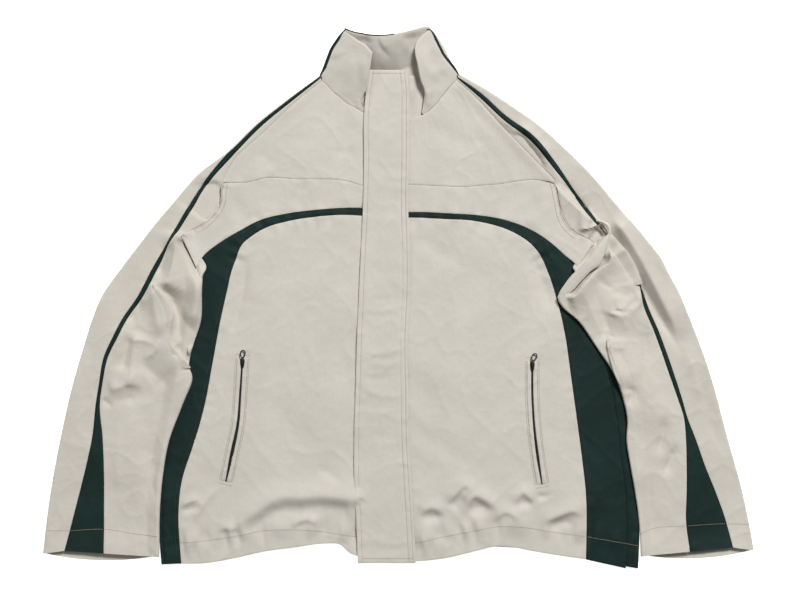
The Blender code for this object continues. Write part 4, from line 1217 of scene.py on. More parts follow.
def buildFold(side, part, form):
    # from a line on the sleeve up to a rim: height rises as 3t^2 - 2t^3, then the rim turns under
    rows = denseRows(form["rows"])
    rows = resample(rows, spread(pathLength(rows), 2.0, (False, False)))
    start, rim = rows[:, 0:2], rows[:, 2:4]
    way = rim - start
    width = np.linalg.norm(way, axis=1)
    way /= width[:, None]
    v = evenly(len(rows))
    full = smooth(v / 0.12) * smooth((1 - v) / 0.12)
    radius = 0.35 + (form["radius"] - 0.35) * full
    turnPoint = rim - way * radius[:, None]
    t = evenly(13)[None, :]
    plan = between(start, turnPoint, t[..., None])
    ground = sleeveTop(side, start[:, 0], start[:, 1]) - 0.5
    topZ = ground + 0.5 + form["rise"] * full
    z = ground[:, None] + (topZ - ground)[:, None] * smooth(t)
    z = z + 0.5 * crumple(plan[..., 0], plan[..., 1], 71)
    turnedRim = rolledRim(turnPoint, way, z[:, -1], radius, width * 0.5)
    return plainPiece(f"sleeve_fold_{part}_{side}", f"sleeve_front_{side}",
                      np.concatenate([atHeight(plan, z), turnedRim], axis=1), shells["stoneSleevePaintedShade"],
                      inward="first")


def buildTubeFold():
    # both rims turned under, with a flat arch between them: height falls by 1.2 * (2t - 1)^4 at the rims
    table = np.column_stack([tubeFold["rows"], tubeFold["crest"]])
    rows = denseRows(table)
    rows = resample(rows, spread(pathLength(rows), 1.8, (False, False)))
    left, right, crest = rows[:, 0:2], rows[:, 2:4], rows[:, 4]
    way = right - left
    width = np.linalg.norm(way, axis=1)
    way /= width[:, None]
    radius = np.minimum(tubeFold["radius"], width * 0.3)
    leftTurn, rightTurn = left + way * radius[:, None], right - way * radius[:, None]
    t = evenly(11)[None, :]
    plan = between(leftTurn, rightTurn, t[..., None])
    z = crest[:, None] - 1.2 * (2 * t - 1) ** 4 + 0.5 * crumple(plan[..., 0], plan[..., 1], 72, 20.0)
    under = width * 0.3
    grid = np.concatenate([rolledRim(leftTurn, -way, z[:, 0], radius, under)[:, ::-1], atHeight(plan, z),
                           rolledRim(rightTurn, way, z[:, -1], radius, under)], axis=1)
    return plainPiece("sleeve_fold_tube_right", "sleeve_front_right", grid, shells["stoneSleevePaintedShade"],
                      inward="middle")


for side in sides:
    folds = [buildFold(side, part, form) for part, form in foldPieces[side].items()]
    if side == "right":
        folds.append(buildTubeFold())
    buildSleeve(side)
print("the sleeves are laid")


collar = {
    "leafRise": 7.0,   # how far a leaf's free edge stands off its stripe
    "topRise": 12.0,   # and its top edge off the neck seam
    "edge": 2.4,       # radius of its rolled free edge
    "under": 10.0,     # how far that edge is turned back beneath
    "crown": {"high": 28.0, "x": -17.0, "run": 61.0, "fall": 11.0, "low": 4.2},
    "foot": 2.4,       # the back's inside where it meets the neck
    "level": 328.0,    # it stays level up to here, under the flap and the facing
    "fold": 1.3,       # radius of the back's top edge
    "freeEdge": {
        "left": [(-51.5, 267.4), (-50.6, 274), (-52, 279), (-54, 287), (-51.5, 295), (-47, 304),
                 (-45.3, 316), (-43.6, 326), (-42, 335), (-40.8, 343), (-38.5, 355)],
        "right": [(34, 268), (38, 283), (39.6, 294), (37.9, 302), (33.8, 313), (31.3, 326), (29.6, 336),
                  (25.8, 350), (24, 361)]},
    "leafEnd": {
        "left": [(-76, 385.6), (-69.4, 380.6), (-59.4, 372.6), (-47, 364.8), (-38.5, 355)],
        "right": [(43, 386), (34.5, 379), (27, 369), (24, 361)]},
    "stripeWidth": {"left": 4.6, "right": 3.8},
    "stripe": {
        "left": [(-115, 322), (-110.2, 332.4), (-104.4, 347.3), (-98.6, 361.5), (-90.2, 374), (-81.1, 385),
                 (-77.5, 388)],
        "right": [(89, 322.4), (82, 335), (73.7, 345), (66.5, 354.5), (62, 363.2), (57.1, 373), (52.1, 382),
                  (47.1, 387.3), (41.5, 389)]},
    "backSide": {
        "left": [(-111, 315), (-114.5, 322), (-109.6, 332.4), (-103.8, 347.3), (-98, 361.5), (-89.8, 374),
                 (-77.8, 388)],
        "right": [(84, 316), (87.5, 323.5), (78.7, 339), (72.5, 351), (67, 362.3), (59.6, 374), (52, 384),
                  (44.6, 392)]},
    "backTop": [(-77.8, 388), (-64.4, 382.6), (-52.8, 380), (-42.8, 378), (-26.2, 377), (-14.5, 377.6),
                (-1.2, 380), (12.1, 383.1), (27.1, 387.6), (37.1, 390.6), (44.6, 392)],
    "piping": {"to": -5.0, "radius": 0.9},
    "frontNeck": [(-56, 272), (-40, 262), (-8, 257), (14, 258), (38, 265)],
    "frontTop": [(-46, 322), (44, 322)],
}
collarFolds = {
    "left": [
        Fold([(-103.6, 345.7), (-96, 345), (-87.8, 346.5), (-79, 350), (-71, 355)], 4, -0.72, 1.5, -0.4),
        Fold([(-104, 352), (-88, 353), (-76, 360)], 7, 0.72),
        Fold([(-60, 342), (-57, 325), (-57, 308), (-60, 293), (-65, 277)], 9, -1.56, 1.8, 0.3),
        Fold([(-52, 352), (-50, 335), (-51, 315), (-54, 300)], 6, 0.96, 1.8),
        Fold([(-88, 330), (-80, 312), (-72, 296)], 12, -0.72),
        Fold([(-62, 368), (-64, 355), (-60, 340)], 8, -0.72),
        Fold([(-60, 290), (-58, 281), (-58, 272)], 3.5, 0.96, 1.5),
        Fold([(-68, 286), (-64, 280), (-62, 273)], 3.5, -0.72, 1.5)],
    "right": [
        Fold([(55.4, 360), (49, 352), (50, 340), (55, 326)], 7, -1.8, 1.7, 0.3),
        Fold([(33, 369), (36, 355), (38, 342), (44, 326), (47, 312)], 8, 1.44, 1.8),
        Fold([(50, 326), (52, 314), (52, 303), (50, 290), (47, 277)], 6, -1.44, 1.7),
        Fold([(43, 306), (45, 295), (44, 283), (41, 272)], 5, 1.56, 1.7),
        Fold([(39, 296), (38, 284), (35, 273)], 3.0, -0.96),
        Fold([(62, 350), (66, 336), (64, 322)], 7, 0.84),
        Fold([(70, 326), (60, 314), (56, 300)], 8, -0.84)],
    "back": [
        Fold([(-30.3, 378), (-29, 370), (-26, 362), (-19.5, 354.8), (-9.5, 343.2)], 4.0, -2.0, 1.5, -0.4),
        Fold([(-24, 378), (-22, 366), (-14, 357)], 5, 1.0),
        Fold([(-50, 379), (-46, 370), (-43, 361)], 5, -1.4, 1.6),
        Fold([(24, 384), (21, 372), (20.5, 364), (22, 354)], 4.0, -1.6, 1.6),
        Fold([(9, 376), (12, 364), (12, 352)], 5, 1.0),
        Fold([(-2, 372), (2, 360), (6, 348), (14, 338)], 7, -0.9)],
    "front": [
        Fold([(24, 322), (27, 305), (28, 290), (32, 276)], 5, -1.6, 1.6),
        Fold([(16, 312), (20, 298), (18, 284)], 5, 1.0)],
}


def crown(x):
    # height of the back's top edge: a parabola that falls to both sides of its highest point
    form = collar["crown"]
    return np.maximum(form["high"] - form["fall"] * ((x - form["x"]) / form["run"]) ** 2, form["low"])


def leafTop(side, x, y, across, up):
    # rise * across^1.15 * smooth(1.6 up) + topRise * up, with the leaf's own creases
    rise = collar["leafRise"] * across ** 1.15 * smooth(up * 1.6) + collar["topRise"] * up
    return cloth["lift"] + cloth["wall"] + rise + folded(x, y, collarFolds[side]) + 0.6 * crumple(x, y, 52)


def stripeRows(side, count=70):
    # the stripe's outer line, the way in from it, the width (less towards both ends) and the share run
    path = smoothPath(collar["stripe"][side], count)
    along = unit(np.gradient(path, axis=0))
    inward = np.column_stack([along[:, 1], -along[:, 0]]) * inwardX[side]
    up = evenly(count)
    width = collar["stripeWidth"][side] * (0.45 + 0.55 * smooth(up * 5)) * (0.3 + 0.7 * smooth((1 - up) * 4))
    return path, inward, width, up


def buildCollarStripe(side):
    # a band between the leaf and the silhouette that rises with the leaf
    path, inward, width, up = stripeRows(side)
    u = np.array([0.0, 0.12, 0.35, 0.65, 0.88, 1.0])
    plan = path[:, None] + inward[:, None] * (0.1 + width[:, None] * u[None])[..., None]
    z = (cloth["lift"] + cloth["wall"] + collar["topRise"] * up)[:, None]
    z = z + 0.5 * np.sin(np.pi * u)[None] - 1.8 * ((1 - u)[None] ** 2)
    return plainPiece(f"collar_stripe_{side}_cloth", f"collar_stripe_{side}",
                      atHeight(plan, z), shells["green"])


def buildCollarLeaf(side, stripe):
    neck = smoothPath(seamLines["neck"][side])
    free = smoothPath(collar["freeEdge"][side])
    corner = np.argmin(np.linalg.norm(neck - free[0], axis=1))
    neck = np.vstack([neck[:corner], free[:1]])
    path, inward, width, up = stripeRows(side)
    stripeEdge = path + inward * (width + 0.3)[:, None]
    top = smoothPath(collar["leafEnd"][side])
    stripeEdge = np.vstack([neck[:1], stripeEdge[3:-3], top[:1]])
    u, v = spread(70.0, 2.2), spread(110.0, 2.2)
    plan = coonsGrid(resample(neck, u), resample(top, u), resample(stripeEdge, v), resample(free, v), u, v)
    plan = drawIn(plan, cloth["seamGap"] / 2, (True, False, True, False))
    z = leafTop(side, plan[..., 0], plan[..., 1], u[None, :], v[:, None])
    z = z + rolled(rimDistance(plan, (True, False, True, False)))
    z = z + rolled(rimDistance(plan, (False, True, False, False)), 1.0, 1.6)
    way = unit(plan[:, -1] - plan[:, -4])
    radius = 0.7 + (collar["edge"] - 0.7) * smooth(v * 5)
    turn = rolledRim(plan[:, -1], way, z[:, -1], radius, np.full(len(v), collar["under"]))
    outer = np.concatenate([atHeight(plan, z), turn], axis=1)
    layCloth(f"collar_{side}_cloth", f"collar_{side}", outer, shells["stone"],
             inward="first")


def buildCollarBack():
    # columns run up the inside from the neck to the top edge, round it and down the outside
    neck, top = smoothPath(seamLines["backNeck"]), smoothPath(collar["backTop"])
    left, right = smoothPath(collar["backSide"]["left"]), smoothPath(collar["backSide"]["right"])
    u, v = spread(180.0, 2.6), spread(85.0, 2.6, (True, False))
    plan = coonsGrid(resample(neck, u), resample(top, u), resample(left, v), resample(right, v), u, v)
    plan = drawIn(plan, cloth["seamGap"] / 2, (True, False, False, False)).transpose(1, 0, 2)
    x, y = plan[..., 0], plan[..., 1]
    high, up = crown(x), v[None, :]
    fromSide = rimDistance(plan, (True, True, False, False))
    aside = smooth((np.abs(x - collar["crown"]["x"]) - 16) / 16.0) * smooth((1 - up) / 0.15)
    topY = np.interp(x, top[:, 0], top[:, 1])
    climbed = np.clip((y - collar["level"]) / (topY - collar["level"]), 0.0, 1.0)
    inside = collar["foot"] + (high - collar["foot"]) * (1 - (1 - climbed) ** 1.6)
    inside = inside + folded(x, y, collarFolds["back"]) + 0.7 * crumple(x, y, 53, 26.0) - 4.5 * aside
    inside = np.maximum(inside, 1.9) + rolled(fromSide, 1.0, 1.8)
    outside = 0.5 + (high - 2 * collar["fold"] - 0.5) * up ** 2.2
    way = unit(plan[:, -1] - plan[:, -3])
    radius = np.full(len(u), collar["fold"])
    bend = halfTurn(plan[:, -1], way, radius, outside[:, -1], inside[:, -1], 5)[:, ::-1]
    outerSide = atHeight(plan, np.minimum(outside, inside - 1.2))[:, ::-1]
    outer = np.concatenate([atHeight(plan, inside), bend, outerSide], axis=1)
    pipe = resample(top, evenly(90))
    pipe = pipe[pipe[:, 0] < collar["piping"]["to"]]
    pipe = np.column_stack([pipe[:, 0], pipe[:, 1] + 0.9, crown(pipe[:, 0]) - 0.2])
    piping = addObject("collar_piping", *ringTube(pipe, collar["piping"]["radius"], 8, False),
                       shells["green"])
    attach(piping, "jacket")
    layCloth("collar_back_cloth", "collar_back", outer, shells["stone"],
             inward="first")


def buildCollarFront():
    neck = smoothPath(collar["frontNeck"])
    top = np.array(collar["frontTop"], dtype=float)
    u, v = spread(90.0, 2.4), spread(60.0, 2.4)
    plan = coonsGrid(resample(neck, u), resample(top, u), resample([neck[0], top[0]], v),
                     resample([neck[-1], top[-1]], v), u, v)
    plan = drawIn(plan, cloth["seamGap"])
    x, y = plan[..., 0], plan[..., 1]
    # level under the flap, falling away under each leaf
    z = (5.2 - 3.8 * smooth((-44 - x) / 8.0)
         + (0.12 * np.minimum(y - 292, 8) - 0.24 * (x - 15)) * smooth((x - 13.0) / 3.0))
    z = z + folded(x, y, collarFolds["front"]) * smooth((x - 12) / 6.0) + 0.5 * crumple(x, y, 54, 22.0)
    z = np.maximum(z + rolled(rimDistance(plan)), 1.2)
    layCloth("collar_front_cloth", "collar_front", atHeight(plan, z), shells["stone"])


buildCollarBack()
buildCollarFront()
for side in sides:
    buildCollarLeaf(side, buildCollarStripe(side))
print("the collar is laid")


FlapRow = namedtuple("FlapRow", "y left right")
flap = {
    "rows": [
        FlapRow(330, -43, 12), FlapRow(297, -47, 15), FlapRow(264, -50, 15), FlapRow(205, -50, 15),
        FlapRow(142, -51, 14), FlapRow(76, -54, 16), FlapRow(10, -57, 16), FlapRow(-60, -60, 13),
        FlapRow(-130, -62, 14), FlapRow(-199, -64, 15), FlapRow(-262, -64, 18), FlapRow(-325, -61, 22),
        FlapRow(-385, -59, 25)],
    "top": 330.0, "length": 715.0,
    "openLift": 1.4,               # the free edge stands off the left front
    "stitchIn": 6.5,               # stitch line along the free edge
    "seamStitches": (3.6, 10.0),   # and the two beside the seam
}
flapFolds = [
    Fold([(-58, -14), (-30, -20), (10, -12)], 5, 0.8, 1.6, 0.3),
    Fold([(-40, -4), (-20, -2), (4, 4)], 4, -0.6, 1.6),
    Fold([(-60, -72), (-35, -82), (-5, -78), (12, -70)], 5, 1.0, 1.5, 0.3),
    Fold([(-50, -92), (-20, -98), (8, -92)], 5, 0.8, 1.5),
    Fold([(-60, -112), (-30, -118), (0, -112)], 5, -0.8, 1.6),
    Fold([(-58, -128), (-32, -140), (0, -142), (14, -132)], 6, 1.0, 1.5, 0.3),
    Fold([(-60, -158), (-30, -168), (6, -160)], 5, 0.7, 1.6),
    Fold([(-58, -205), (-34, -200), (-6, -208)], 8, -0.6),
    Fold([(-62, -346), (-40, -352), (-12, -350)], 6, 0.7, 1.6),
    Fold([(-40, -362), (-10, -366), (20, -360)], 5, -0.6),
    Fold([(-44, 250), (-20, 236), (10, 244)], 8, 0.5),
    Fold([(-46, 200), (-16, 186), (10, 192)], 7, -0.5),
    Fold([(-48, 120), (-20, 110), (8, 116)], 9, 0.45),
    Fold([(-30, 300), (-26, 270), (-34, 240)], 7, 0.45),
    Fold([(-54, 50), (-20, 38), (10, 46)], 8, -0.45),
]


flapRows = smoothPath([(r.left, r.right, r.y) for r in flap["rows"]], 200)[::-1]


def flapEdges(y):
    return np.interp(y, flapRows[:, 2], flapRows[:, 0]), np.interp(y, flapRows[:, 2], flapRows[:, 1])


def flapTop(x, y):
    left, right = flapEdges(y)
    fromLeft, fromRight = x - left, right - x
    lifted = flap["openLift"] * np.exp(-(fromLeft / 14.0) ** 2)
    wave = 0.6 * noise(y, x * 0.2 + 90, 34.0, 61) * np.exp(-(fromLeft / 12.0) ** 2)
    seam = 0.5 * noise(y, x * 0.3 + 50, 9.0, 62) * np.exp(-((fromRight - 6.0) / 7.0) ** 2)
    ripple = 0.45 * noise(y, x * 0.3 + 20, 8.0, 63) * np.exp(-((fromLeft - 6.5) / 6.0) ** 2)
    groove = -0.6 * np.exp(-((fromLeft - flap["stitchIn"]) / 1.3) ** 2)
    for stitch in flap["seamStitches"]:
        groove = groove - 0.65 * np.exp(-((fromRight - stitch) / 1.2) ** 2)
    form = cloth["lift"] + 2 * cloth["wall"] + cloth["layGap"] + raised(x, y, mounds["body"])
    return (form + lifted + wave + seam + ripple + groove + folded(x, y, flapFolds)
            + 1.1 * crumple(x, y, 64, 24.0))


def buildFlap():
    v = spread(flap["length"], 2.7)
    y = flap["top"] - flap["length"] * v[::-1]
    left, right = flapEdges(y)
    u = spread(68.0, 1.9)[None, :]
    x = between(left, right, u)
    y = np.repeat(y[:, None], u.shape[1], axis=1)
    plan = np.stack([x, y], axis=-1)
    z = np.maximum(flapTop(x, y), frontTop(x, y) + cloth["layGap"]) + rolled(rimDistance(plan), 0.5, 1.2)
    layCloth("storm_flap_cloth", "storm_flap", atHeight(plan, z), shells["stone"])


def buildFrontZip():
    half = centre["zipHalf"] - 0.2
    u, v = evenly(9)[None, :], evenly(240)[:, None]
    x = centre["x"] - half + 2 * half * u + 0 * v
    y = centre["zipBottom"] + (centre["zipTop"] - centre["zipBottom"]) * v + 0 * u
    coil = 0.5 * np.exp(-((x - centre["x"]) / 2.0) ** 2) * (1 + 0.4 * np.sin(y * 2 * np.pi / 5.2))
    z = cloth["lift"] + cloth["wall"] - 0.4 + raised(x, y, mounds["body"]) + coil
    plainPiece("front_zip_tape", "front_zip", np.stack([x, y, z], axis=-1), hardware["tape"])


buildFrontZip()
buildFlap()
print("the flap is laid")


pocket = {
    "path": {
        "left": [(-226, -88), (-229, -135), (-233, -185), (-241, -224), (-250, -266)],
        "right": [(194, -92), (194, -140), (197, -190), (202, -232), (208, -270)]},
    "gapHalf": {"left": (0.7, 1.2, 1.5, 2.0, 2.6, 0.6), "right": (1.2, 1.3, 1.3, 1.5, 1.9, 0.5)},
    "coilHalf": 2.4, "lipWidth": 4.6, "lipHeight": 1.5, "lipSunk": 0.6, "stitchOut": 10.0,
    "length": 178.0, "toothPitch": 1.5,
}
slider = {"length": 14.0, "head": 8.0, "neck": 5.4, "tail": 4.6, "corners": 48, "bridgeWire": 0.75,
          # height of each level and its size as a share of the outline
          "levels": [(0.0, 0.02), (0.0, 0.86), (0.25, 0.97), (0.9, 1.0), (1.5, 0.97), (2.0, 0.88),
                     (2.2, 0.74), (2.25, 0.02)]}
pull = {"wire": 0.85, "length": 10.5, "width": 7.6, "droop": math.radians(10),
        "turn": {"left": math.radians(-8), "right": math.radians(-28)}}


def pathFrame(points, count):
    # evenly spaced points on a smooth path with the unit direction and the left normal at each
    path = curveThrough(points, evenly(count))
    way = unit(np.gradient(path, axis=0))
    return path, way, np.column_stack([-way[:, 1], way[:, 0]])


def pocketTop(x, y):
    return frontTop(x, y) + cloth["layGap"]


def buildPocket(side):
    rows = 120
    path, way, normal = pathFrame(pocket["path"][side], rows)
    base = pocketTop(path[:, 0], path[:, 1])[:, None]
    # tape: a flat strip with a low ridge where the coil lies under it
    u = np.linspace(-1.0, 1.0, 9)[None, :]
    tape = path[:, None] + normal[:, None] * (u[..., None] * pocket["coilHalf"])
    tapeZ = base - 0.5 + 0.5 * np.exp(-(u / 0.45) ** 2)
    plainPiece(f"pocket_zip_{side}_tape", f"pocket_zip_{side}", atHeight(tape, tapeZ), hardware["tape"],
               0.5)
    # lips: rounded welts, the cross-section a half ellipse between the slit and the outer seam
    start = np.interp(evenly(rows), evenly(6), pocket["gapHalf"][side])[:, None]
    end = pocket["coilHalf"] + 0.4 + pocket["lipWidth"]
    arc = evenly(14)[None, :]
    across = start + (end - start) * arc
    welt = pocket["lipHeight"] * np.sqrt(np.clip(1 - (2 * arc - 1) ** 2, 0, 1)) ** 0.6
    ends = smooth(np.minimum(evenly(rows), 1 - evenly(rows)) * 40)[:, None]
    for name, sign in (("inner", 1.0), ("outer", -1.0)):
        plan = path[:, None] + normal[:, None] * (sign * across)[..., None]
        ripple = 0.16 * noise(across, np.linspace(0, 180, rows)[:, None] + 40 * sign, 7.0, 71)
        z = pocketTop(plan[..., 0], plan[..., 1]) - pocket["lipSunk"] + welt * (0.4 + 0.6 * ends) + ripple
        plainPiece(f"pocket_lip_{name}_{side}_cloth", f"pocket_lip_{name}_{side}", atHeight(plan, z),
                   shells["stone"], 0.5)


def mergedCopies(name, shapeFaces, places, material):
    # one mesh of many copies: places is (copies, points, 3), each copy already put in its place
    count, size = places.shape[:2]
    shift = (np.arange(count) * size)[:, None, None]
    faces = (shapeFaces[None] + shift).reshape(-1, shapeFaces.shape[1])
    piece = addObject(name, places.reshape(-1, 3), faces, material)
    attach(piece, "jacket")


def beadShape(rings=3, around=6):
    # a closed bead: two tips and rings between them, along X from -1 to 1, radius 1 in the middle
    place = np.linspace(-1, 1, rings + 2)[1:-1]
    angle = np.arange(around) * 2 * np.pi / around
    size = np.sqrt(1 - np.abs(place) ** 2.5)
    ring = np.stack([np.repeat(place, around), np.outer(size, np.cos(angle)).ravel(),
                     np.outer(size, np.sin(angle)).ravel()], axis=1)
    points = np.vstack([[-1.0, 0, 0], ring, [1.0, 0, 0]])
    faces = []
    for k in range(around):
        m = (k + 1) % around
        faces.append((0, 1 + m, 1 + k))
        for r in range(rings - 1):
            a, b = 1 + r * around + k, 1 + r * around + m
            faces += [(a, b, b + around), (a, b + around, a + around)]
        last = 1 + (rings - 1) * around
        faces.append((last + k, last + m, len(points) - 1))
    return points, np.array(faces)


def stitchRuns(name, runs, thread, pitch=3.1, long=2.3, thick=0.42):
    # running stitches on the cloth: one bead every pitch along each path, laid on the height function
    bead, beadFaces = beadShape()
    if np.sum(np.cross(bead[beadFaces[:, 1]] - bead[beadFaces[:, 0]],
                       bead[beadFaces[:, 2]] - bead[beadFaces[:, 0]]) * bead[beadFaces[:, 0]]) < 0:
        beadFaces = beadFaces[:, ::-1]
    places = []
    for points, heightAt in runs:
        length = pathLength(points)
        count = max(int(length / pitch), 2)
        at = (np.arange(count) + 0.5) / count
        ends = [resample(points, np.clip(at + sign * long / 2 / length, 0, 1)) for sign in (-1, 1)]
        low = [np.column_stack([e, heightAt(e[:, 0], e[:, 1])]) for e in ends]
        middle = (low[0] + low[1]) / 2 + [0, 0, 0.12]
        ahead = (low[1] - low[0]) / 2
        ahead *= (long / 2 / np.maximum(np.linalg.norm(ahead, axis=1), 1e-6))[:, None]
        flat = np.column_stack([-ahead[:, 1], ahead[:, 0], np.zeros(count)])
        flat /= np.linalg.norm(flat, axis=1)[:, None]
        upward = np.cross(ahead / (long / 2), flat)
        places.append(middle[:, None] + bead[None, :, :1] * ahead[:, None]
                      + bead[None, :, 1:2] * flat[:, None] * thick
                      + bead[None, :, 2:] * upward[:, None] * thick * 0.7)
    mergedCopies(name, beadFaces, np.concatenate(places), threads[thread])


# one turn of the coil: out from the middle, on along the tape, its half length, width and height, and
# how far it is sunk into the tape
tooth = {"out": 0.75, "on": 0.35, "long": 0.95, "wide": 0.5, "high": 0.42, "sunk": 0.12}


def buildTeeth(side):
    # the coil's turns show as short beads across the tape, two rows that meet at the middle
    path, way, normal = pathFrame(pocket["path"][side], int(pocket["length"] / pocket["toothPitch"]))
    bead, beadFaces = beadShape()
    z = pocketTop(path[:, 0], path[:, 1]) - tooth["sunk"]
    places = []
    for sign in (-1.0, 1.0):
        middle = np.column_stack([path + normal * sign * tooth["out"] + way * tooth["on"] * sign, z])
        across = np.column_stack([normal * tooth["long"], np.zeros(len(path))])
        along = np.column_stack([way * tooth["wide"], np.zeros(len(path))])
        upward = np.array([0, 0, tooth["high"]])
        places.append(middle[:, None] + bead[None, :, :1] * across[:, None]
                      + bead[None, :, 1:2] * along[:, None] + bead[None, :, 2:] * upward)
    mergedCopies(f"pocket_coil_{side}", beadFaces, np.concatenate(places), hardware["coil"])


def buildSlider(side):
    # die-cast body: a tapered outline lofted through rounded levels, with a bridge over it
    low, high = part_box(f"slider_{side}")
    x = (low[0] + high[0]) / 2 / mm
    middle = (low[1] + high[1]) / 2 / mm
    base = pocketTop(np.array([x]), np.array([middle]))[0] + 0.5
    corners = slider["corners"]
    angle = np.linspace(0, 2 * np.pi, corners + 1)[:-1]
    # superellipse outline, narrower towards the tail
    along = np.sign(np.sin(angle)) * np.abs(np.sin(angle)) ** 0.6 * slider["length"] / 2
    widthAt = np.interp(along, [-7, -2, 7], [slider["tail"], slider["neck"], slider["head"]]) / 2
    across = np.sign(np.cos(angle)) * np.abs(np.cos(angle)) ** 0.55 * widthAt
    points = np.vstack([np.column_stack([x + across * size, middle + along * size,
                                         np.full(corners, base + height)])
                        for height, size in slider["levels"]])
    n = np.arange(len(points)).reshape(-1, corners)
    n = np.column_stack([n, n[:, 0]])
    body = addObject(f"slider_{side}_metal", *closedLoft(points, n), hardware["metal"], sharpAngle=40)
    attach(body, "jacket")
    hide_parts(f"slider_{side}")
    # bridge: an arch of wire over the body that holds the pull
    t = np.linspace(0, np.pi, 19)
    arch = np.column_stack([np.full(19, x), middle + 6.2 - 5.2 * (1 - np.cos(t)) / 2 * 1.6,
                            base + 2.0 + 1.9 * np.sin(t) ** 0.8])
    bridge = addObject(f"slider_{side}_bridge", *ringTube(arch, slider["bridgeWire"], 10, False),
                       hardware["metal"])
    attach(bridge, "jacket")


def buildPull(side):
    # a closed wire loop, egg-shaped, whose narrow end turns in the slider's bridge
    joint = next(j for j in frame["joints"] if j["name"] == f"pull_{side}_swing")
    hinge = np.array(joint["pos_m"]) / mm
    t = np.linspace(0, 2 * np.pi, 41)[:-1]
    half = pull["width"] / 2
    a = half * np.sin(t) * (0.86 + 0.14 * np.cos(t + np.pi))
    b = pull["length"] / 2 * (1 - np.cos(t))
    turn = pull["turn"][side]
    drop = -b * math.sin(pull["droop"])
    b = b * math.cos(pull["droop"])
    loop = np.column_stack([hinge[0] + a * math.cos(turn) - b * math.sin(turn),
                            hinge[1] + a * math.sin(turn) + b * math.cos(turn), hinge[2] + drop])
    piece = addObject(f"pull_{side}_wire", *ringTube(loop, pull["wire"]), hardware["metal"])
    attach(piece, f"pull_{side}")
    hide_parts(f"pull_{side}")


for side in sides:
    buildPocket(side)
    buildTeeth(side)
    buildSlider(side)
    buildPull(side)
print("the pockets are set")


# where the topstitching runs, in millimetres from each seam
sewing = {
    "armhole": (1.8, 7.5), "greenFront": (1.4, 5.2), "greenOuter": (1.2, 4.4), "pocketGap": 2.0,
    "flapEnds": (325.0, -378.0),   # heights up the flap of its two cross seams
    "cuff": {
        "left": [(-512, -338), (-478, -338), (-428, -336), (-377, -343), (-348, -346)],
        "right": [(350, -342), (366, -336), (420, -331), (474, -328), (510, -329)]},
}


def offsetPath(points, distance):
    # a path moved to its left by a distance
    path, way, normal = pathFrame(points, 160)
    return path + normal * distance


def partOf(path, start, end):
    return resample(path, np.linspace(start, end, 120))


threadLift = 0.05   # the thread's underside over the cloth


def onFront(x, y):
    return frontTop(x, y) + threadLift


def onGreenPanel(x, y):
    return onFront(x, y) - cloth["greenDrop"]


def sewBody(side):
    sign = inwardX[side]
    stone, green = [], []
    band = greenRows[side][:tipRow * rowParts + 1]
    wholeSide = greenRows[side]
    armhole = sleeveEdge(side, yokeEnd[side], underarm[side])
    for distance in sewing["armhole"]:
        stone.append((offsetPath(armhole[::4], sign * distance), onFront))
    hem = smoothPath(seamLines["hemStitch"][side])
    frontEdgeX = np.interp(-350, wholeSide[::-1, 3], wholeSide[::-1, 2])
    fromEdge = (hem[:, 0] - frontEdgeX) * sign
    onGreen = hem[fromEdge < -1.0]
    stone.append((hem[fromEdge > 1.0], onFront))
    for distance in sewing["greenFront"]:
        inner = offsetPath(wholeSide[::6, 2:4], -sign * distance)
        green.append((partOf(inner, 0.0, 0.985), onGreenPanel))
    for distance in sewing["greenOuter"]:
        green.append((offsetPath(band[::6, :2], sign * distance), onGreenPanel))
    stitchRuns(f"stitches_front_{side}", stone, "stone")
    stitchRuns(f"stitches_band_{side}", green, "green")
    if len(onGreen) > 3:
        stitchRuns(f"stitches_side_hem_{side}", [(onGreen, onGreenPanel)], "tan")


def sewFlap():
    left, right, y = flapRows.T
    paths = [np.column_stack([left + flap["stitchIn"], y])]
    paths += [np.column_stack([right - inset, y]) for inset in flap["seamStitches"]]
    for level in sewing["flapEnds"]:
        low, high = flapEdges(level)
        paths.append(np.array([[low + 6, level], [high - 3, level]]))
    stitchRuns("stitches_flap", [(partOf(path, 0.002, 0.998), flapTop) for path in paths], "stone")


def sewPocket(side):
    path, way, normal = pathFrame(pocket["path"][side], 60)
    top = path[0] - way[0] * 5.0
    bottom = path[-1] + way[-1] * 5.0
    out = pocket["stitchOut"]
    runs = []
    for sign in (-1.0, 1.0):
        runs.append((path + normal * sign * out, onFront))
        runs.append((path + normal * sign * (out - sewing["pocketGap"]), onFront))
    runs.append((np.array([top - normal[0] * out, top + normal[0] * out]), onFront))
    runs.append((np.array([bottom - normal[-1] * out, bottom + normal[-1] * out]), onFront))
    stitchRuns(f"stitches_pocket_{side}", runs, "stone", pitch=2.6, long=1.9, thick=0.36)


def sewCuff(side):
    line = smoothPath(sewing["cuff"][side])
    rows = sleeveRows[side]
    level = rows[:, 3]
    order = np.argsort(level)
    stripeX = np.interp(line[:, 1], level[order], rows[order, 2])
    width = np.interp(line[:, 1], level[order], rows[order, 4])
    inward = inwardX[side]
    depth = (line[:, 0] - stripeX) * inward
    onGreen = (depth > 0.8) & (depth < width - 0.8)
    back = line[depth < -0.8]
    front = line[depth > width + 0.8]

    def onCuff(x, y):
        return sleeveTop(side, x, y) + threadLift + cuffGape(side, y, 0.5 + 0 * x) * 0.9

    stitchRuns(f"stitches_cuff_{side}", [(back, onCuff), (front, onCuff)], "stone")
    stitchRuns(f"stitches_gusset_{side}", [(line[onGreen], onCuff)], "tan")


for side in sides:
    sewBody(side)
    sewPocket(side)
    sewCuff(side)
sewFlap()
print("the sewing is done")


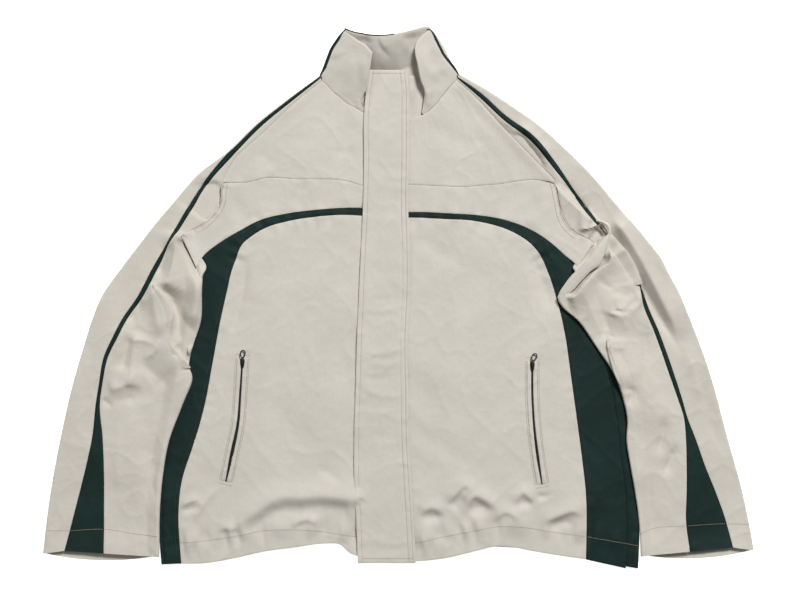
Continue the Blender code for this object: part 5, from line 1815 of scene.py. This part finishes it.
studio = {
    "floorSize": 12.0, "floorLevel": -0.3,   # metres across, millimetres under the cloth
    "cameraHeight": 3.2, "frameWidth": 1.160, "middle": (0.0023, -0.0042), "sky": 0.12,
    # name, place, width in metres and power in watts: the key stands beyond the collar, to the right
    "lights": [("key light", (2.2, 4.4, 6.0), 2.0, 622.0), ("side light", (-5.0, 0.4, 3.0), 2.4, 60.0)],
}


def paperFloor():
    # Seamless background paper: bright, matt, with a faint tooth.
    material, tree, shader = newMaterial("seamless paper, white", {
        "Roughness": 0.9, "Specular IOR Level": 0.1,
        "Emission Color": (1, 1, 1, 1), "Emission Strength": 0.85})
    twoTone(tree, shader, cloudGrain(tree, 2.5, 2.0), "#f7f7f5", "#fcfcfb")
    half = studio["floorSize"] / 2 / mm
    corners = [(-half, -half), (half, -half), (half, half), (-half, half)]
    points = [(x, y, studio["floorLevel"]) for x, y in corners]
    floor = addObject("floor", points, [(0, 1, 2, 3)], material)


def softLight(name, place, size, power):
    data = bpy.data.lights.new(name, "AREA")
    data.shape = "DISK"
    data.size = size
    data.energy = power
    light = bpy.data.objects.new(name, data)
    light.location = place
    x, y, z = place
    light.rotation_euler = (math.atan2(math.hypot(x, y), z), 0, math.atan2(x, -y))   # faces the middle
    bpy.context.scene.collection.objects.link(light)


def buildStudio():
    paperFloor()
    for name, place, size, power in studio["lights"]:
        softLight(name, place, size, power)
    world = bpy.data.worlds.new("studio")
    world.use_nodes = True
    world.node_tree.nodes["Background"].inputs["Color"].default_value = (1, 1, 1, 1)
    world.node_tree.nodes["Background"].inputs["Strength"].default_value = studio["sky"]
    bpy.context.scene.world = world
    bpy.context.scene.view_settings.view_transform = "Standard"
    camera = bpy.data.cameras.new("camera")
    camera.sensor_width = 36.0
    camera.lens = 36.0 * studio["cameraHeight"] / studio["frameWidth"]
    camera.clip_end = 50.0
    holder = bpy.data.objects.new("camera", camera)
    holder.location = (*studio["middle"], studio["cameraHeight"] + 0.006)
    bpy.context.scene.collection.objects.link(holder)
    bpy.context.scene.camera = holder


buildStudio()
print("the studio is set")
